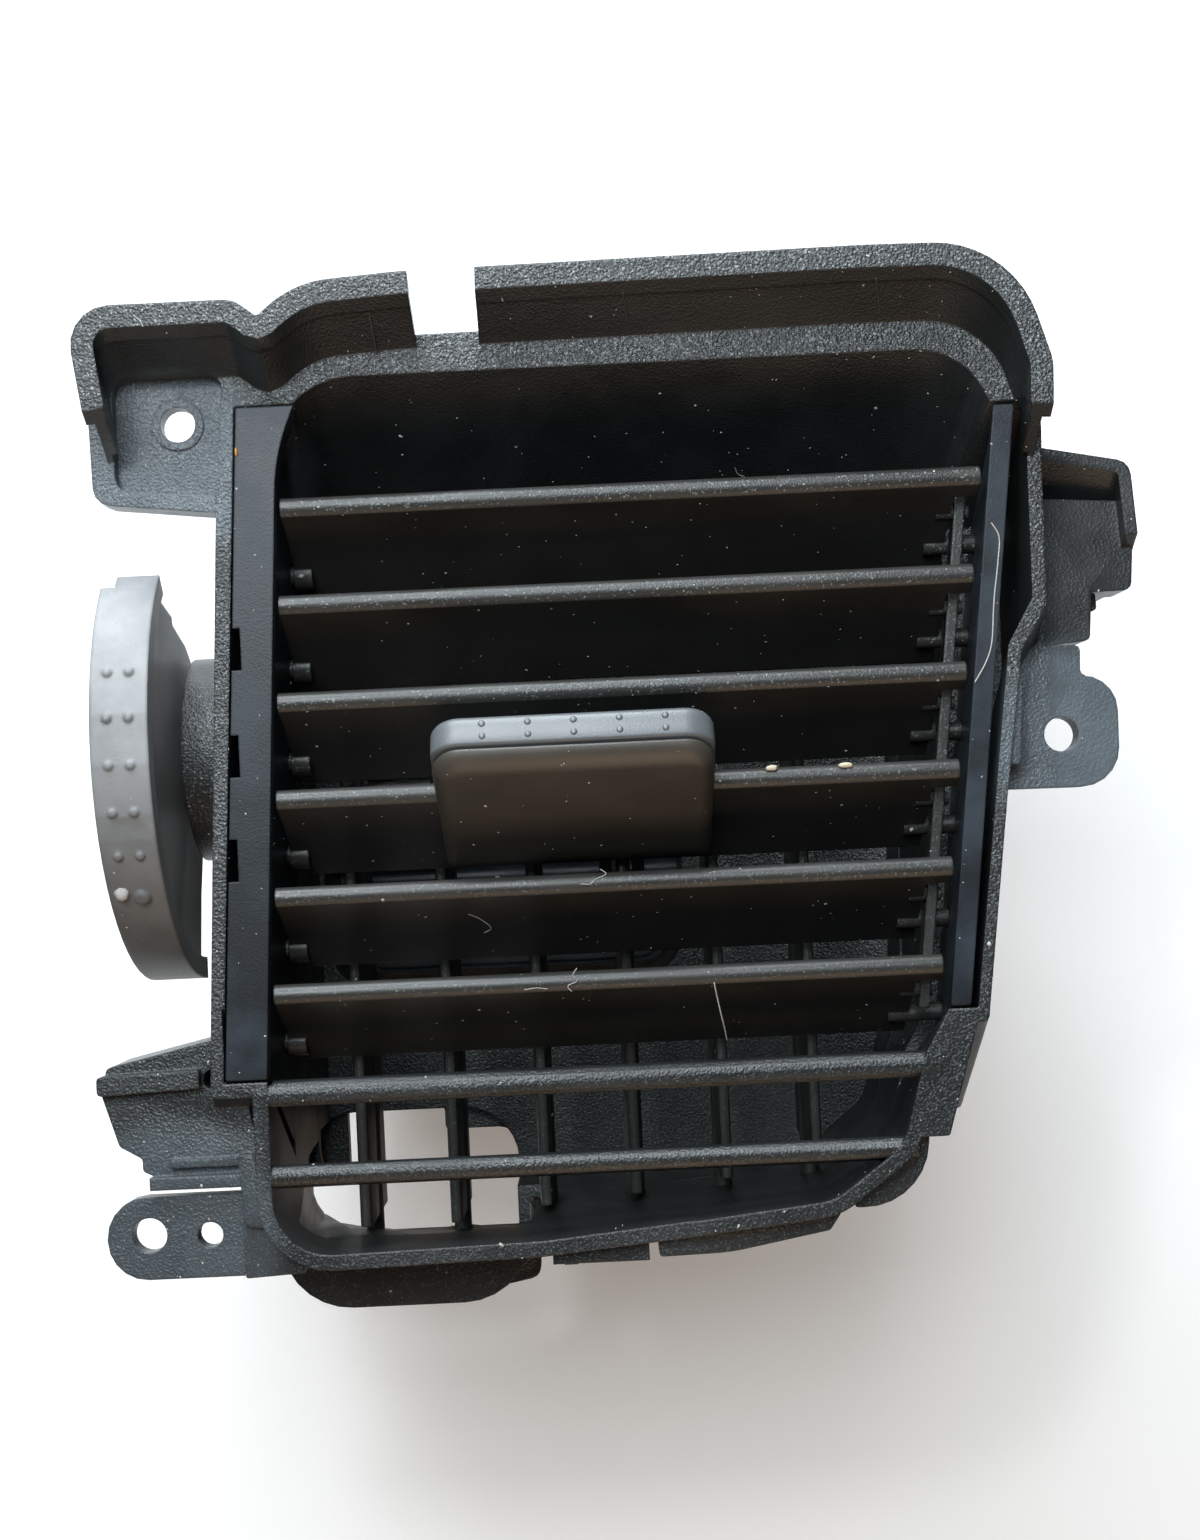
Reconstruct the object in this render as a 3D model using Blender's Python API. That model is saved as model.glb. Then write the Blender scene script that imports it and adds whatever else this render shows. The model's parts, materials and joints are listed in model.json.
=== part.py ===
"""Dashboard air vent: housing, rear duct, tilting and swivelling vanes, slide knob, thumbwheel and damper.

Sizes are in millimetres in the grille frame: X to the right, Y into the dash, Z up, with the grille
face on Y = 0. The finished objects are in metres, and their common origin is on the top ledge of the
grille face, LEDGE_Z above the centre of the grille.
"""
from math import atan, cos, hypot, pi, radians, sin, sqrt

import bmesh
import bpy
from mathutils import Vector

# Frame and general sizes
MM = 0.001
LEDGE_Z = 70.4
RAKE = 0.642
RAKE_ANGLE = atan(RAKE)
WALL = 2.2
GAP = 0.3
ARC_PIECES = ((1.2, 2), (3.0, 3), (8.0, 5), (12.0, 7), (99.0, 9))

# Tube of the housing
TUBE_LENGTH = 46.0
LEDGE_DEPTH = 2.6
LIP_FRONT = -8.6
LIP_WIDTH = 3.1
LIP_BEAD_DEPTH = 2.2
LIP_BEAD_STEP = 1.2
NOTCH_X = (-22.6, -13.8)

# Horizontal vanes
VANE_COUNT = 6
VANE_TOP_Z = 51.5
VANE_PITCH = 13.85
VANE_CHORD = 21.1
VANE_NOSE = 1.5
VANE_PIVOT_U = 15.8
VANE_PIN_R = 1.4
VANE_TILT = 22.0
LINK_ARM = 7.0
LINK_PIN_R = 1.0
LINK_THICK = 1.6
LINK_WIDTH = 3.0
CHEEK = 1.8
CHEEK_DEPTH = 20.0
STRIP_DEPTH = 2.2
LEFT_GAP = 0.65
RIGHT_GAP = 1.2
LAST_VANE_TRIM = 0.4
VANE_STEP_U = 4.4
VANE_STEP_X = 3.4
BAR_Z = (-31.5, -43.4)
BAR_NOSE = (2.0, 1.6)
BAR_CHORD = 4.2

# Knob and its fork
KNOB_X = (-22.8, 16.6)
KNOB_REAR_U = 12.0
KNOB_TOP = 3.2
KNOB_BOTTOM = -3.7
KNOB_SEAM = -1.2
KNOB_CHANNEL = 1.95
KNOB_SLIDE = 6.3
FORK_SLOT = 1.5
FORK_ARM = 2.0
FORK_END_U = 30.0
BUMP_R = 0.75
BUMP_H = 0.35

# Vertical vanes
UPRIGHT_COUNT = 6
UPRIGHT_X0 = -38.6
UPRIGHT_PITCH = 13.95
UPRIGHT_FRONT = 22.0
UPRIGHT_SETBACK = 2.0
UPRIGHT_REAR = TUBE_LENGTH - UPRIGHT_SETBACK
HINGE_SHARE = 12.0 / 22.0
UPRIGHT_HINGE = UPRIGHT_FRONT + (UPRIGHT_REAR - UPRIGHT_FRONT) * HINGE_SHARE
UPRIGHT_THICK = 1.8
UPRIGHT_TOP = 38.2
UPRIGHT_BOTTOM = (-56.2, -56.2, -54.2, -53.0, -51.3, -47.5)
UPRIGHT_PIN_END = (-60.4, -60.4, -56.8, -56.4, -55.6, -54.4)
UPRIGHT_PIN_R = 1.4
UPRIGHT_DRIVEN = 3
ROD_Y = 20.5
ROD_R = 1.0
ROD_Z = (-12.0, 7.0)
NOTCH_LAND = 4.4
NOTCH_REAR = UPRIGHT_HINGE - NOTCH_LAND
RAIL_HALF = 3.0
RAIL_Z = (38.8, 41.0)
SWIVEL_ARM = 6.0
SWIVEL_PIN_R = 1.1

# Thumbwheel, rod and damper
WHEEL_Y = 23.0
WHEEL_Z = 16.7
WHEEL_R = 33.5
WHEEL_X = (-69.0, -61.0)
RIM = 3.2
RIM_ANGLES = (135.0, 268.0)
CROWN_X = (-67.0, -61.0)
CROWN_ANGLE = 130.5
WEB_X = (-64.0, -62.0)
WEB_BACK = (
    (0.045, -0.618), (0.164, -0.319), (0.254, -0.081), (0.254, 0.081), (0.134, 0.412), (-0.060, 0.522),
    (-0.299, 0.588), (-0.310, 0.624), (-0.537, 0.672),
)
BOSS_R = 15.5
BOSS_END = -60.4
CRANK_R = 16.0
CRANK_ANGLE = 107.3
CRANK_PIN_R = 1.9
ROD_X = (-66.6, -64.6)
DUCT_LENGTH = 16.0
DUCT_REAR = TUBE_LENGTH + DUCT_LENGTH
DAMPER_SET = 21.0
DAMPER_Y = DUCT_REAR + DAMPER_SET
DAMPER_Z = -4.0
COLLAR_X = (-48.0, 14.0)
COLLAR_Z = (-22.0, 14.0)
COLLAR_REACH = 18.0
COLLAR_END = DAMPER_Y + COLLAR_REACH
COLLAR_R = 8.0
SHAFT_R = 2.4

# Side-window outlet at the lower left
PASSAGE_X = (-50.6, -12.0)
PASSAGE_FLOOR = -61.8
PASSAGE_R = 9.0
OUTLET_X = (-54.0, -16.5)
OUTLET_Z = (-72.0, -43.5)
OUTLET_R = 9.5
FLANGE_X = (-57.0, -11.5)
OUTLET_STEP = (-46.2, -29.2)
OUTLET_SILL = (-53.5, -47.4)
FLANGE_Z = (-77.6, -37.5)
FLANGE_R = 14.0
FLANGE_THICK = 2.5

# Outlines of the front face, as (x, z, corner radius)
CAVITY_FRONT = [
    (-43.3, 69.0, 11.5), (54.6, 69.0, 11.0), (58.8, 60.5, 0), (48.8, -24.3, 0), (44.8, -31.3, 3.0),
    (41.3, -43.9, 7.0), (31.0, -51.4, 8.0), (12.0, -53.3, 0), (-11.0, -55.2, 0), (-48.9, -55.9, 8.0),
    (-48.8, -30.5, 0),
]
CAVITY_REAR = [
    (-49.0, 39.5, 11.5), (50.0, 39.5, 11.0), (50.4, 24.0, 0), (48.8, -28.0, 0), (46.5, -34.0, 3.0),
    (43.6, -45.0, 7.0), (33.0, -53.6, 8.0), (12.0, -55.4, 0), (-11.0, -55.6, 0), (-49.0, -55.8, 8.0),
    (-49.0, -30.0, 0),
]
CAVITY_BACK = [
    (-49.0, 33.0, 11.5), (50.0, 33.0, 11.0), (50.4, 18.0, 0), (48.8, -28.0, 0), (46.5, -34.0, 3.0),
    (43.6, -45.0, 7.0), (33.0, -53.6, 8.0), (12.0, -55.4, 0), (-11.0, -55.6, 0), (-49.0, -55.8, 8.0),
    (-49.0, -30.0, 0),
]
LEFT_POCKET = [(-49.1, 65.5, 0.3), (-40.0, 65.5, 0), (-40.0, -30.6, 0), (-55.0, -30.6, 0.3)]
LEFT_POCKET_WALL = [(-51.4, 66.5, 0.6), (-45.0, 66.5, 0), (-45.0, -32.8, 0), (-57.0, -32.8, 0.8)]
RIGHT_POCKET = [
    (50.0, 61.2, 0), (63.3, 61.2, 0.5), (63.1, 33.0, 1.0), (59.4, 26.5, 1.0), (56.7, 5.8, 0),
    (52.7, -24.9, 0.3), (42.0, -24.9, 0),
]
RIGHT_POCKET_WALL = [
    (50.0, 63.0, 0), (65.3, 63.0, 1.0), (65.1, 32.0, 1.5), (61.2, 25.6, 1.5), (58.3, 5.5, 0),
    (54.1, -26.9, 0.8), (42.0, -26.9, 0),
]
LIP_LINE = [
    (-68.4, 63.6, 0), (-70.4, 78.1, 5.5), (-47.0, 78.1, 4.0), (-43.8, 75.6, 0.6), (-38.6, 80.0, 15.0),
    (-24.0, 80.9, 9.0), (40.0, 81.5, 9.0), (60.4, 81.2, 15.0), (65.5, 64.5, 8.0), (65.3, 58.5, 0),
]
EAR = [(-70.0, 72.2, 4.0), (-45.2, 72.0, 0), (-42.8, 64.6, 0), (-50.5, 50.2, 0), (-69.6, 52.4, 2.6)]
EAR_POCKET = [
    (-66.3, 70.3, 2.6), (-49.9, 70.3, 2.4), (-51.0, 65.9, 1.0), (-51.8, 52.9, 1.2), (-66.4, 54.2, 2.0),
]
LEFT_STRIP = [
    (-48.8, 65.2, 0.3), (-40.6, 65.2, 0), (-43.5, 58.5, 30.0), (-48.8, -30.3, 0.3), (-54.7, -30.3, 0.3),
]
SNAPS_Z = (33.5, 18.3, 3.5)
SCREW_R = 2.5
EAR_BORE = (-57.5, 63.6)
RIGHT_BORE = (67.5, 13.6)
LOWER_BORE = (-67.2, -52.3)

bpy_objects = bpy.data.objects
for old in list(bpy_objects):
    bpy_objects.remove(old, do_unlink=True)


# Outlines

def arc_points(before, corner, after, radius):
    """Points of the arc that rounds one corner, or the corner itself when it has no radius."""
    if radius <= 0:
        return [corner]
    ax, az = before[0] - corner[0], before[1] - corner[1]
    bx, bz = after[0] - corner[0], after[1] - corner[1]
    la, lb = hypot(ax, az), hypot(bx, bz)
    ax, az, bx, bz = ax / la, az / la, bx / lb, bz / lb
    half_cos = sqrt(max(0.0, (1 + ax * bx + az * bz) / 2))
    half_sin = sqrt(max(1e-9, 1 - half_cos * half_cos))
    reach = radius * half_cos / half_sin
    mx, mz = ax + bx, az + bz
    lm = hypot(mx, mz)
    cx = corner[0] + mx / lm * radius / half_sin
    cz = corner[1] + mz / lm * radius / half_sin
    sx, sz = corner[0] + ax * reach - cx, corner[1] + az * reach - cz
    ex, ez = corner[0] + bx * reach - cx, corner[1] + bz * reach - cz
    turn = sx * ez - sz * ex
    sweep = pi - 2 * atan(half_sin / max(half_cos, 1e-9))
    count = int(next(pieces for limit, pieces in ARC_PIECES if radius < limit))
    sign = 1 if turn > 0 else -1
    points = []
    for step in range(count + 1):
        a = sign * sweep * step / count
        points.append((cx + sx * cos(a) - sz * sin(a), cz + sx * sin(a) + sz * cos(a)))
    return points


def rounded(corners, closed=True):
    """Outline through the corners (x, z, radius), each rounded by its radius."""
    points = []
    total = len(corners)
    for index, (x, z, radius) in enumerate(corners):
        at_end = not closed and index in (0, total - 1)
        before = corners[index - 1]
        after = corners[(index + 1) % total]
        points += arc_points(before, (x, z), after, 0 if at_end else radius)
    return points


def offset(points, distance, closed=True):
    """Moves an outline to its left by a distance, or to its right by a negative one."""
    moved = []
    total = len(points)
    for index, (x, z) in enumerate(points):
        before = points[index - 1] if closed or index > 0 else None
        after = points[(index + 1) % total] if closed or index < total - 1 else None
        normals = []
        for a, b in ((before, (x, z)), ((x, z), after)):
            if a is None or b is None:
                continue
            length = hypot(b[0] - a[0], b[1] - a[1])
            if length > 1e-6:
                normals.append((-(b[1] - a[1]) / length, (b[0] - a[0]) / length))
        nx = sum(n[0] for n in normals) / len(normals)
        nz = sum(n[1] for n in normals) / len(normals)
        scale = distance / max(0.3, nx * nx + nz * nz)
        moved.append((x + nx * scale, z + nz * scale))
    return moved


def wall_outline(corners, thickness=WALL):
    """Outline of a wall's outer side; the corners run clockwise, so outward is to the left."""
    return offset(rounded(corners), thickness)


def band(corners, near, far):
    """Closed outline of a strip that follows a clockwise line, from near to far inside it."""
    line = rounded(corners, closed=False)
    return offset(line, -near, closed=False) + offset(line, -far, closed=False)[::-1]


def box_outline(x0, x1, z0, z1, radius=0.0):
    """Rectangle with rounded corners, clockwise; a radius ends where it would use up a side."""
    radius = min(radius, (x1 - x0) / 2 - 0.05, (z1 - z0) / 2 - 0.05)
    return rounded([(x0, z1, radius), (x1, z1, radius), (x1, z0, radius), (x0, z0, radius)])


def circle(x, z, radius, count=24):
    """Circle as a closed outline."""
    turns = [2 * pi * k / count for k in range(count)]
    return [(x + radius * cos(a), z + radius * sin(a)) for a in turns]


def arc(x, z, radius, start, end, count):
    """Points along an arc, angles in degrees from the first axis towards the second."""
    points = []
    for k in range(count + 1):
        a = radians(start + (end - start) * k / count)
        points.append((x + radius * cos(a), z + radius * sin(a)))
    return points


# Solids

def solid(verts, faces, name="piece"):
    """Closed mesh object from points in millimetres of the grille frame, its faces turned outward."""
    mesh = bpy.data.meshes.new(name)
    mesh.from_pydata([Vector((x, y, z - LEDGE_Z)) * MM for x, y, z in verts], [], faces)
    shape = bmesh.new()
    shape.from_mesh(mesh)
    bmesh.ops.recalc_face_normals(shape, faces=shape.faces)
    shape.to_mesh(mesh)
    shape.free()
    item = bpy_objects.new(name, mesh)
    bpy.context.scene.collection.objects.link(item)
    return item


def skin(rings, name="piece", straight=True):
    """Solid through two or more outlines with the same number of points; warped sides go in as triangles."""
    count = len(rings[0])
    verts = [p for ring in rings for p in ring]
    faces = [list(range(count))[::-1]]
    for level in range(len(rings) - 1):
        low, high = level * count, (level + 1) * count
        for k in range(count):
            n = (k + 1) % count
            if straight:
                faces.append([low + k, low + n, high + n, high + k])
            else:
                faces += [[low + k, low + n, high + n], [low + k, high + n, high + k]]
    faces.append([(len(rings) - 1) * count + k for k in range(count)])
    return solid(verts, faces, name)


def along_y(outline, y0, y1, rake=0.0):
    """Outline in X and Z, drawn at Y = 0, carried from y0 to y1; it sinks by the rake."""
    return skin([[(x, y, z - rake * y) for x, z in outline] for y in (y0, y1)])


def loft_y(front, y0, rear, y1):
    """Solid between one outline at y0 and another at y1."""
    return skin([[(x, y0, z) for x, z in front], [(x, y1, z) for x, z in rear]], straight=False)


def along_x(outline, x0, x1):
    """Outline in Y and Z carried from x0 to x1."""
    return skin([[(x, y, z) for y, z in outline] for x in (x0, x1)])


def along_z(outline, z0, z1):
    """Outline in X and Y carried from z0 to z1."""
    return skin([[(x, y, z) for x, y in outline] for z in (z0, z1)])


def box(x0, x1, y0, y1, z0, z1):
    """Box between two corners."""
    return along_y([(x0, z0), (x1, z0), (x1, z1), (x0, z1)], y0, y1)


def chord_point(u, n, z_front):
    """Grille Y and Z of a point u along a vane's chord and n above it; the vane's nose is at z_front."""
    y = u * cos(RAKE_ANGLE) + n * sin(RAKE_ANGLE)
    z = z_front - u * sin(RAKE_ANGLE) + n * cos(RAKE_ANGLE)
    return y, z


def along_x_chord(outline, z_front, x0, x1):
    """Outline in chord and normal carried from x0 to x1."""
    return along_x([chord_point(u, n, z_front) for u, n in outline], x0, x1)


def combine(target, tools, operation):
    """Joins, cuts or intersects the target with each tool in turn, and removes the tools."""
    for tool in tools:
        modifier = target.modifiers.new("combine", "BOOLEAN")
        modifier.operation = operation
        modifier.solver = "EXACT"
        modifier.object = tool
        settle(target)
        bpy_objects.remove(tool, do_unlink=True)
    return target


def settle(item):
    """Replaces an object's mesh by the result of its modifiers."""
    graph = bpy.context.evaluated_depsgraph_get()
    graph.update()
    result = bpy.data.meshes.new_from_object(item.evaluated_get(graph))
    item.modifiers.clear()
    item.data = result


def join(target, *tools):
    """Union of the target and the tools."""
    return combine(target, tools, "UNION")


def cut(target, *tools):
    """The target less the tools."""
    return combine(target, tools, "DIFFERENCE")


def tidy(item):
    """Merges stray double points and dissolves needless edges of flat faces."""
    shape = bmesh.new()
    shape.from_mesh(item.data)
    bmesh.ops.remove_doubles(shape, verts=shape.verts, dist=0.00001)
    bmesh.ops.dissolve_degenerate(shape, edges=shape.edges, dist=0.00001)
    bmesh.ops.triangulate(shape, faces=shape.faces)
    bmesh.ops.recalc_face_normals(shape, faces=shape.faces)
    shape.to_mesh(item.data)
    shape.free()


MATERIALS = {
    "housing_plastic": ((0.018, 0.019, 0.021, 1.0), 0.55, 0.0),
    "carrier_plastic": ((0.020, 0.022, 0.026, 1.0), 0.50, 0.0),
    "vane_plastic": ((0.022, 0.024, 0.028, 1.0), 0.45, 0.0),
    "knob_plastic": ((0.035, 0.038, 0.042, 1.0), 0.50, 0.0),
    "wheel_plastic": ((0.10, 0.10, 0.10, 1.0), 0.55, 0.0),
    "natural_plastic": ((0.55, 0.54, 0.50, 1.0), 0.45, 0.0),
    "clip_steel": ((0.60, 0.61, 0.63, 1.0), 0.35, 1.0),
    "seal_foam": ((0.03, 0.03, 0.032, 1.0), 0.95, 0.0),
    "pad_rubber": ((0.02, 0.02, 0.02, 1.0), 0.85, 0.0),
}


def make_material(name):
    """The named material, made on first use."""
    material = bpy.data.materials.get(name)
    if material is not None:
        return material
    colour, roughness, metallic = MATERIALS[name]
    material = bpy.data.materials.new(name)
    material.use_nodes = True
    shader = material.node_tree.nodes["Principled BSDF"]
    shader.inputs["Base Color"].default_value = colour
    shader.inputs["Roughness"].default_value = roughness
    shader.inputs["Metallic"].default_value = metallic
    material.diffuse_color = colour
    return material


def finish(item, name, material, origin=None, smooth=32.0):
    """Names a finished piece, gives it its own material and moves its origin to a joint axis."""
    tidy(item)
    item.name = name
    item.data.name = name
    own = make_material(material).copy()
    own.name = name + "_" + material
    item.data.materials.clear()
    item.data.materials.append(own)
    if origin is not None:
        point = Vector((origin[0], origin[1], origin[2] - LEDGE_Z)) * MM
        for vertex in item.data.vertices:
            vertex.co -= point
        item.location = point
    for polygon in item.data.polygons:
        polygon.use_smooth = True
    item.data.set_sharp_from_angle(angle=radians(smooth))
    return item


# Places that several pieces share

def left_edge(z_face):
    """X of the left vane carrier's inner edge at a height on the face."""
    return -43.8 - 0.0594 * (52.0 - z_face)


def right_edge(z_face):
    """X of the right vane carrier's inner edge at a height on the face."""
    return 58.8 - 0.1179 * (60.5 - z_face)


def vane_front_z(index):
    """Height of a horizontal vane's nose on the face."""
    return VANE_TOP_Z - VANE_PITCH * index


def vane_pivot(index):
    """Grille Y and Z of a horizontal vane's pivot."""
    return chord_point(VANE_PIVOT_U, 0.0, vane_front_z(index))


def link_pin(index):
    """Grille Y and Z of the pin that couples a horizontal vane to the link bar."""
    return chord_point(VANE_PIVOT_U - LINK_ARM, 0.0, vane_front_z(index))


def upright_x(index):
    """X of a vertical vane."""
    return UPRIGHT_X0 + UPRIGHT_PITCH * index


def crank_pin(y, z):
    """Grille Y and Z of the rod pin on a crank whose axis is at y, z."""
    return y + CRANK_R * cos(radians(CRANK_ANGLE)), z + CRANK_R * sin(radians(CRANK_ANGLE))


# Housing

def build_housing():
    """One moulding: raked tube, ledge, lip, ear, tabs, brackets, wheel boss and two fixed bars."""
    body = loft_y(wall_outline(CAVITY_FRONT), 0.0, wall_outline(CAVITY_REAR), TUBE_LENGTH)
    join(body, along_y(rounded(LEFT_POCKET_WALL), 0.0, 24.4, RAKE))
    join(body, along_y(rounded(RIGHT_POCKET_WALL), 0.0, 24.4, RAKE))
    add_ledge_and_lip(body)
    add_ear(body)
    add_right_side(body)
    add_lower_left(body)
    add_underside(body)
    join(body, along_x(circle(WHEEL_Y, WHEEL_Z, BOSS_R, 40), BOSS_END, -48.0))
    cut_cavities(body)
    add_fixed_bars(body)
    add_upright_bearings(body)
    add_hooks(body)
    cut(body, along_x(circle(WHEEL_Y, WHEEL_Z, 3.0, 20), BOSS_END - 1, -52.5))
    return finish(body, "housing", "housing_plastic")


def add_ledge_and_lip(body):
    """The lit ledge round the opening and the raised lip that follows it over the top."""
    at_face = [(x, z - RAKE * -LIP_FRONT, r) for x, z, r in LIP_LINE]
    ledge = rounded(at_face[3:], closed=False)
    ledge = [(x, z - 1.0) for x, z in ledge] + [(60.0, 50.0), (40.0, 66.5), (-30.0, 66.5), (-43.9, 62.0)]
    join(body, along_y(ledge, 0.0, LEDGE_DEPTH))
    drop = RAKE * LIP_FRONT
    line = [(x, z + drop, r) for x, z, r in LIP_LINE]
    bead_end = LIP_FRONT + LIP_BEAD_DEPTH
    join(body, along_y(band(line, LIP_BEAD_STEP, LIP_WIDTH - 0.2), bead_end - 1.0, 1.9, RAKE))
    join(body, along_y(band(line, 0.0, LIP_WIDTH), LIP_FRONT, bead_end, RAKE))


def add_ear(body):
    """Screw ear at the top left, with its shallow pocket and a round bore."""
    join(body, along_y(rounded(EAR), 0.1, 4.6))
    cut(body, along_y(rounded(EAR_POCKET), -1.0, 2.1))
    join(body, along_y(circle(*EAR_BORE, SCREW_R + 1.2, 24), 1.85, 4.6))
    cut(body, along_y(circle(*EAR_BORE, SCREW_R, 24), -3.0, 6.0))


def add_right_side(body):
    """Screw tab, raised rib, hooded bracket and flat block on the right."""
    tab = [
        (57.0, 26.6, 0), (70.8, 26.4, 0.8), (70.6, 22.0, 0.8), (75.9, 21.8, 5.2), (75.7, 5.8, 5.6), (56.0, 6.0, 0),
    ]
    join(body, along_y(rounded(tab), 5.0, 7.6))
    join(body, along_y(circle(*RIGHT_BORE, SCREW_R + 2.4, 24), 7.4, 8.4))
    cut(body, along_y(circle(*RIGHT_BORE, SCREW_R, 24), 3.0, 10.0))
    rib = [(59.4, 24.0, 0.6), (61.4, 24.0, 0.9), (60.6, 9.5, 0.5), (58.6, 9.5, 0)]
    join(body, along_y(rounded(rib), 1.0, 6.0))
    block = [(63.6, 54.5, 0), (78.4, 52.2, 1.0), (79.4, 50.0, 1.0), (78.4, 34.4, 1.0), (63.6, 34.0, 0)]
    join(body, along_y(rounded(block), 14.0, 27.0))
    face = [(63.6, 48.4, 0), (80.2, 47.2, 0.8), (79.3, 34.3, 1.2), (63.6, 34.1, 0)]
    join(body, along_y(rounded(face), 7.5, 15.0))
    hood = [(63.8, 58.9, 0), (79.2, 55.8, 2.4), (79.9, 45.4, 0)]
    join(body, along_y(band(hood, 0.0, 1.8), 5.0, 16.0, RAKE))
    lower = [(62.0, 35.5, 0), (73.4, 35.2, 0.8), (72.8, 27.2, 0.8), (60.0, 26.0, 0)]
    join(body, along_y(rounded(lower), 7.0, 20.0))
    step = [(62.5, 31.0, 0), (74.8, 31.8, 0.6), (74.4, 37.5, 0.6), (62.5, 37.0, 0)]
    join(body, along_y(rounded(step), 10.0, 18.0))
    cheek = [(47.6, -25.6, 0), (52.9, -25.6, 0.4), (47.8, -42.9, 0.5), (43.0, -42.9, 0)]
    join(body, along_y(rounded(cheek), 0.0, 12.0))
    corner = [(40.0, -38.0, 0), (45.4, -40.5, 0), (44.6, -53.4, 9.4), (34.2, -52.9, 0.3), (34.6, -48.0, 0)]
    join(body, along_y(rounded(corner), 2.4, 13.0))


def add_lower_left(body):
    """Stepped bracket with a dimpled ridge, corner column and two-hole screw tab."""
    bracket = [
        (-54.0, -24.0, 0), (-72.2, -28.0, 0.8), (-73.0, -32.0, 0.8), (-70.8, -39.3, 1.0),
        (-67.6, -41.2, 0.6), (-67.6, -43.0, 0.6), (-63.6, -44.9, 0.5), (-50.0, -45.2, 0),
    ]
    join(body, along_y(rounded(bracket), 2.4, 15.0))
    ridge = [(-73.2, -29.0, 0.6), (-58.6, -28.6, 0.3), (-58.6, -31.2, 0.3), (-73.2, -31.8, 0.6)]
    join(body, along_y(rounded(ridge), 0.4, 3.0))
    cut(body, along_y(circle(-56.9, -30.2, 1.5, 16), 1.0, 9.0))
    for z0, z1, front in ((-42.6, -41.4, 1.4), (-45.6, -43.8, 1.0)):
        join(body, box(-66.4 + (z0 + 45.6), -52.0, front, 6.0, z0, z1))
    upper = [(-53.6, -41.0, 0.4), (-47.9, -41.0, 0), (-47.9, -52.0, 0), (-53.0, -51.2, 0.3)]
    join(body, along_y(rounded(upper), 0.6, 12.0))
    lower = [(-53.4, -50.2, 0.3), (-45.0, -50.2, 0), (-45.0, -58.4, 0), (-53.4, -58.8, 0.4)]
    join(body, along_y(rounded(lower), 1.4, 12.0))
    tab = [(-73.3, -46.8, 5.8), (-52.0, -46.8, 0), (-52.0, -58.7, 0), (-73.3, -58.7, 5.8)]
    join(body, along_y(rounded(tab), 3.0, 5.6))
    cut(body, along_y(circle(*LOWER_BORE, SCREW_R, 24), 1.0, 7.0))
    cut(body, along_y(circle(-58.5, -52.6, 1.85, 20), 1.0, 7.0))


def add_underside(body):
    """Passage to the side-window outlet, and the block and rail under the front edge."""
    mouth = [(-47.2, -45.0, 2.0), (-12.8, -45.0, 2.0), (-12.8, -55.4, 2.0), (-47.2, -55.4, 2.0)]
    front = wall_outline(mouth, 2.0)
    (x0, x1), z0 = PASSAGE_X, PASSAGE_FLOOR
    rear = wall_outline([(x0, -45.0, 2.0), (x1, -45.0, 2.0), (x1, z0, 2.0), (x0, z0, PASSAGE_R)], 2.0)
    join(body, loft_y(matched(front, rear)[0], 8.0, matched(front, rear)[1], TUBE_LENGTH))
    block = [
        (5.8, -54.6, 0), (32.4, -51.6, 0), (32.0, -53.6, 0.6), (30.4, -55.9, 0.8), (16.0, -58.4, 30.0),
        (5.8, -58.6, 0.5),
    ]
    join(body, along_y(rounded(block), 2.0, 14.0))
    join(body, box(-9.5, 4.4, 3.0, 8.0, -59.2, -55.8))
    join(body, box(-8.0, -6.0, 8.0, 22.0, -60.4, -56.6))
    join(body, box(20.0, 22.0, 14.0, 30.0, -58.0, -54.2))


def matched(first, second):
    """Two outlines given the same number of points by repeating the ratio of their lengths."""
    count = max(len(first), len(second))
    return resampled(first, count), resampled(second, count)


def resampled(points, count):
    """Closed outline with more points, the new ones put in the middle of its longest sides."""
    points = list(points)
    while len(points) < count:
        gaps = []
        for k, (x, z) in enumerate(points):
            nx, nz = points[(k + 1) % len(points)]
            gaps.append((hypot(nx - x, nz - z), k))
        longest = max(gaps)[1]
        a, b = points[longest], points[(longest + 1) % len(points)]
        points.insert(longest + 1, ((a[0] + b[0]) / 2, (a[1] + b[1]) / 2))
    return points


def cut_cavities(body):
    """Opens the tube, the carriers' pockets, the lower passage and the notch in the lip."""
    ahead, behind = 3.0, 2.0
    front = extended(CAVITY_FRONT, CAVITY_REAR, -ahead / TUBE_LENGTH)
    rear = extended(CAVITY_FRONT, CAVITY_REAR, 1 + behind / TUBE_LENGTH)
    cut(body, loft_y(front, -ahead, rear, TUBE_LENGTH + behind))
    cut(body, along_y(rounded(LEFT_POCKET), -0.5, 22.4, RAKE))
    cut(body, along_y(rounded(RIGHT_POCKET), -0.5, 22.4, RAKE))
    front = rounded([(-47.0, -46.0, 2.0), (-13.0, -46.0, 2.0), (-13.0, -55.5, 2.0), (-47.0, -55.5, 2.0)])
    (x0, x1), z0 = PASSAGE_X, PASSAGE_FLOOR
    rear = rounded([(x0, -46.0, 2.0), (x1, -46.0, 2.0), (x1, z0, 2.0), (x0, z0, PASSAGE_R)])
    front, rear = matched(front, rear)
    cut(body, loft_y(front, 11.0, rear, TUBE_LENGTH + 1.0))
    draft = 0.5
    x0, x1 = NOTCH_X
    notch = [(x0 - draft, 90.0, 0), (x1 + draft, 90.0, 0), (x1, 70.0, 0), (x0, 70.0, 0)]
    cut(body, along_y(rounded(notch), LIP_FRONT - 1.0, -0.02))


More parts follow.
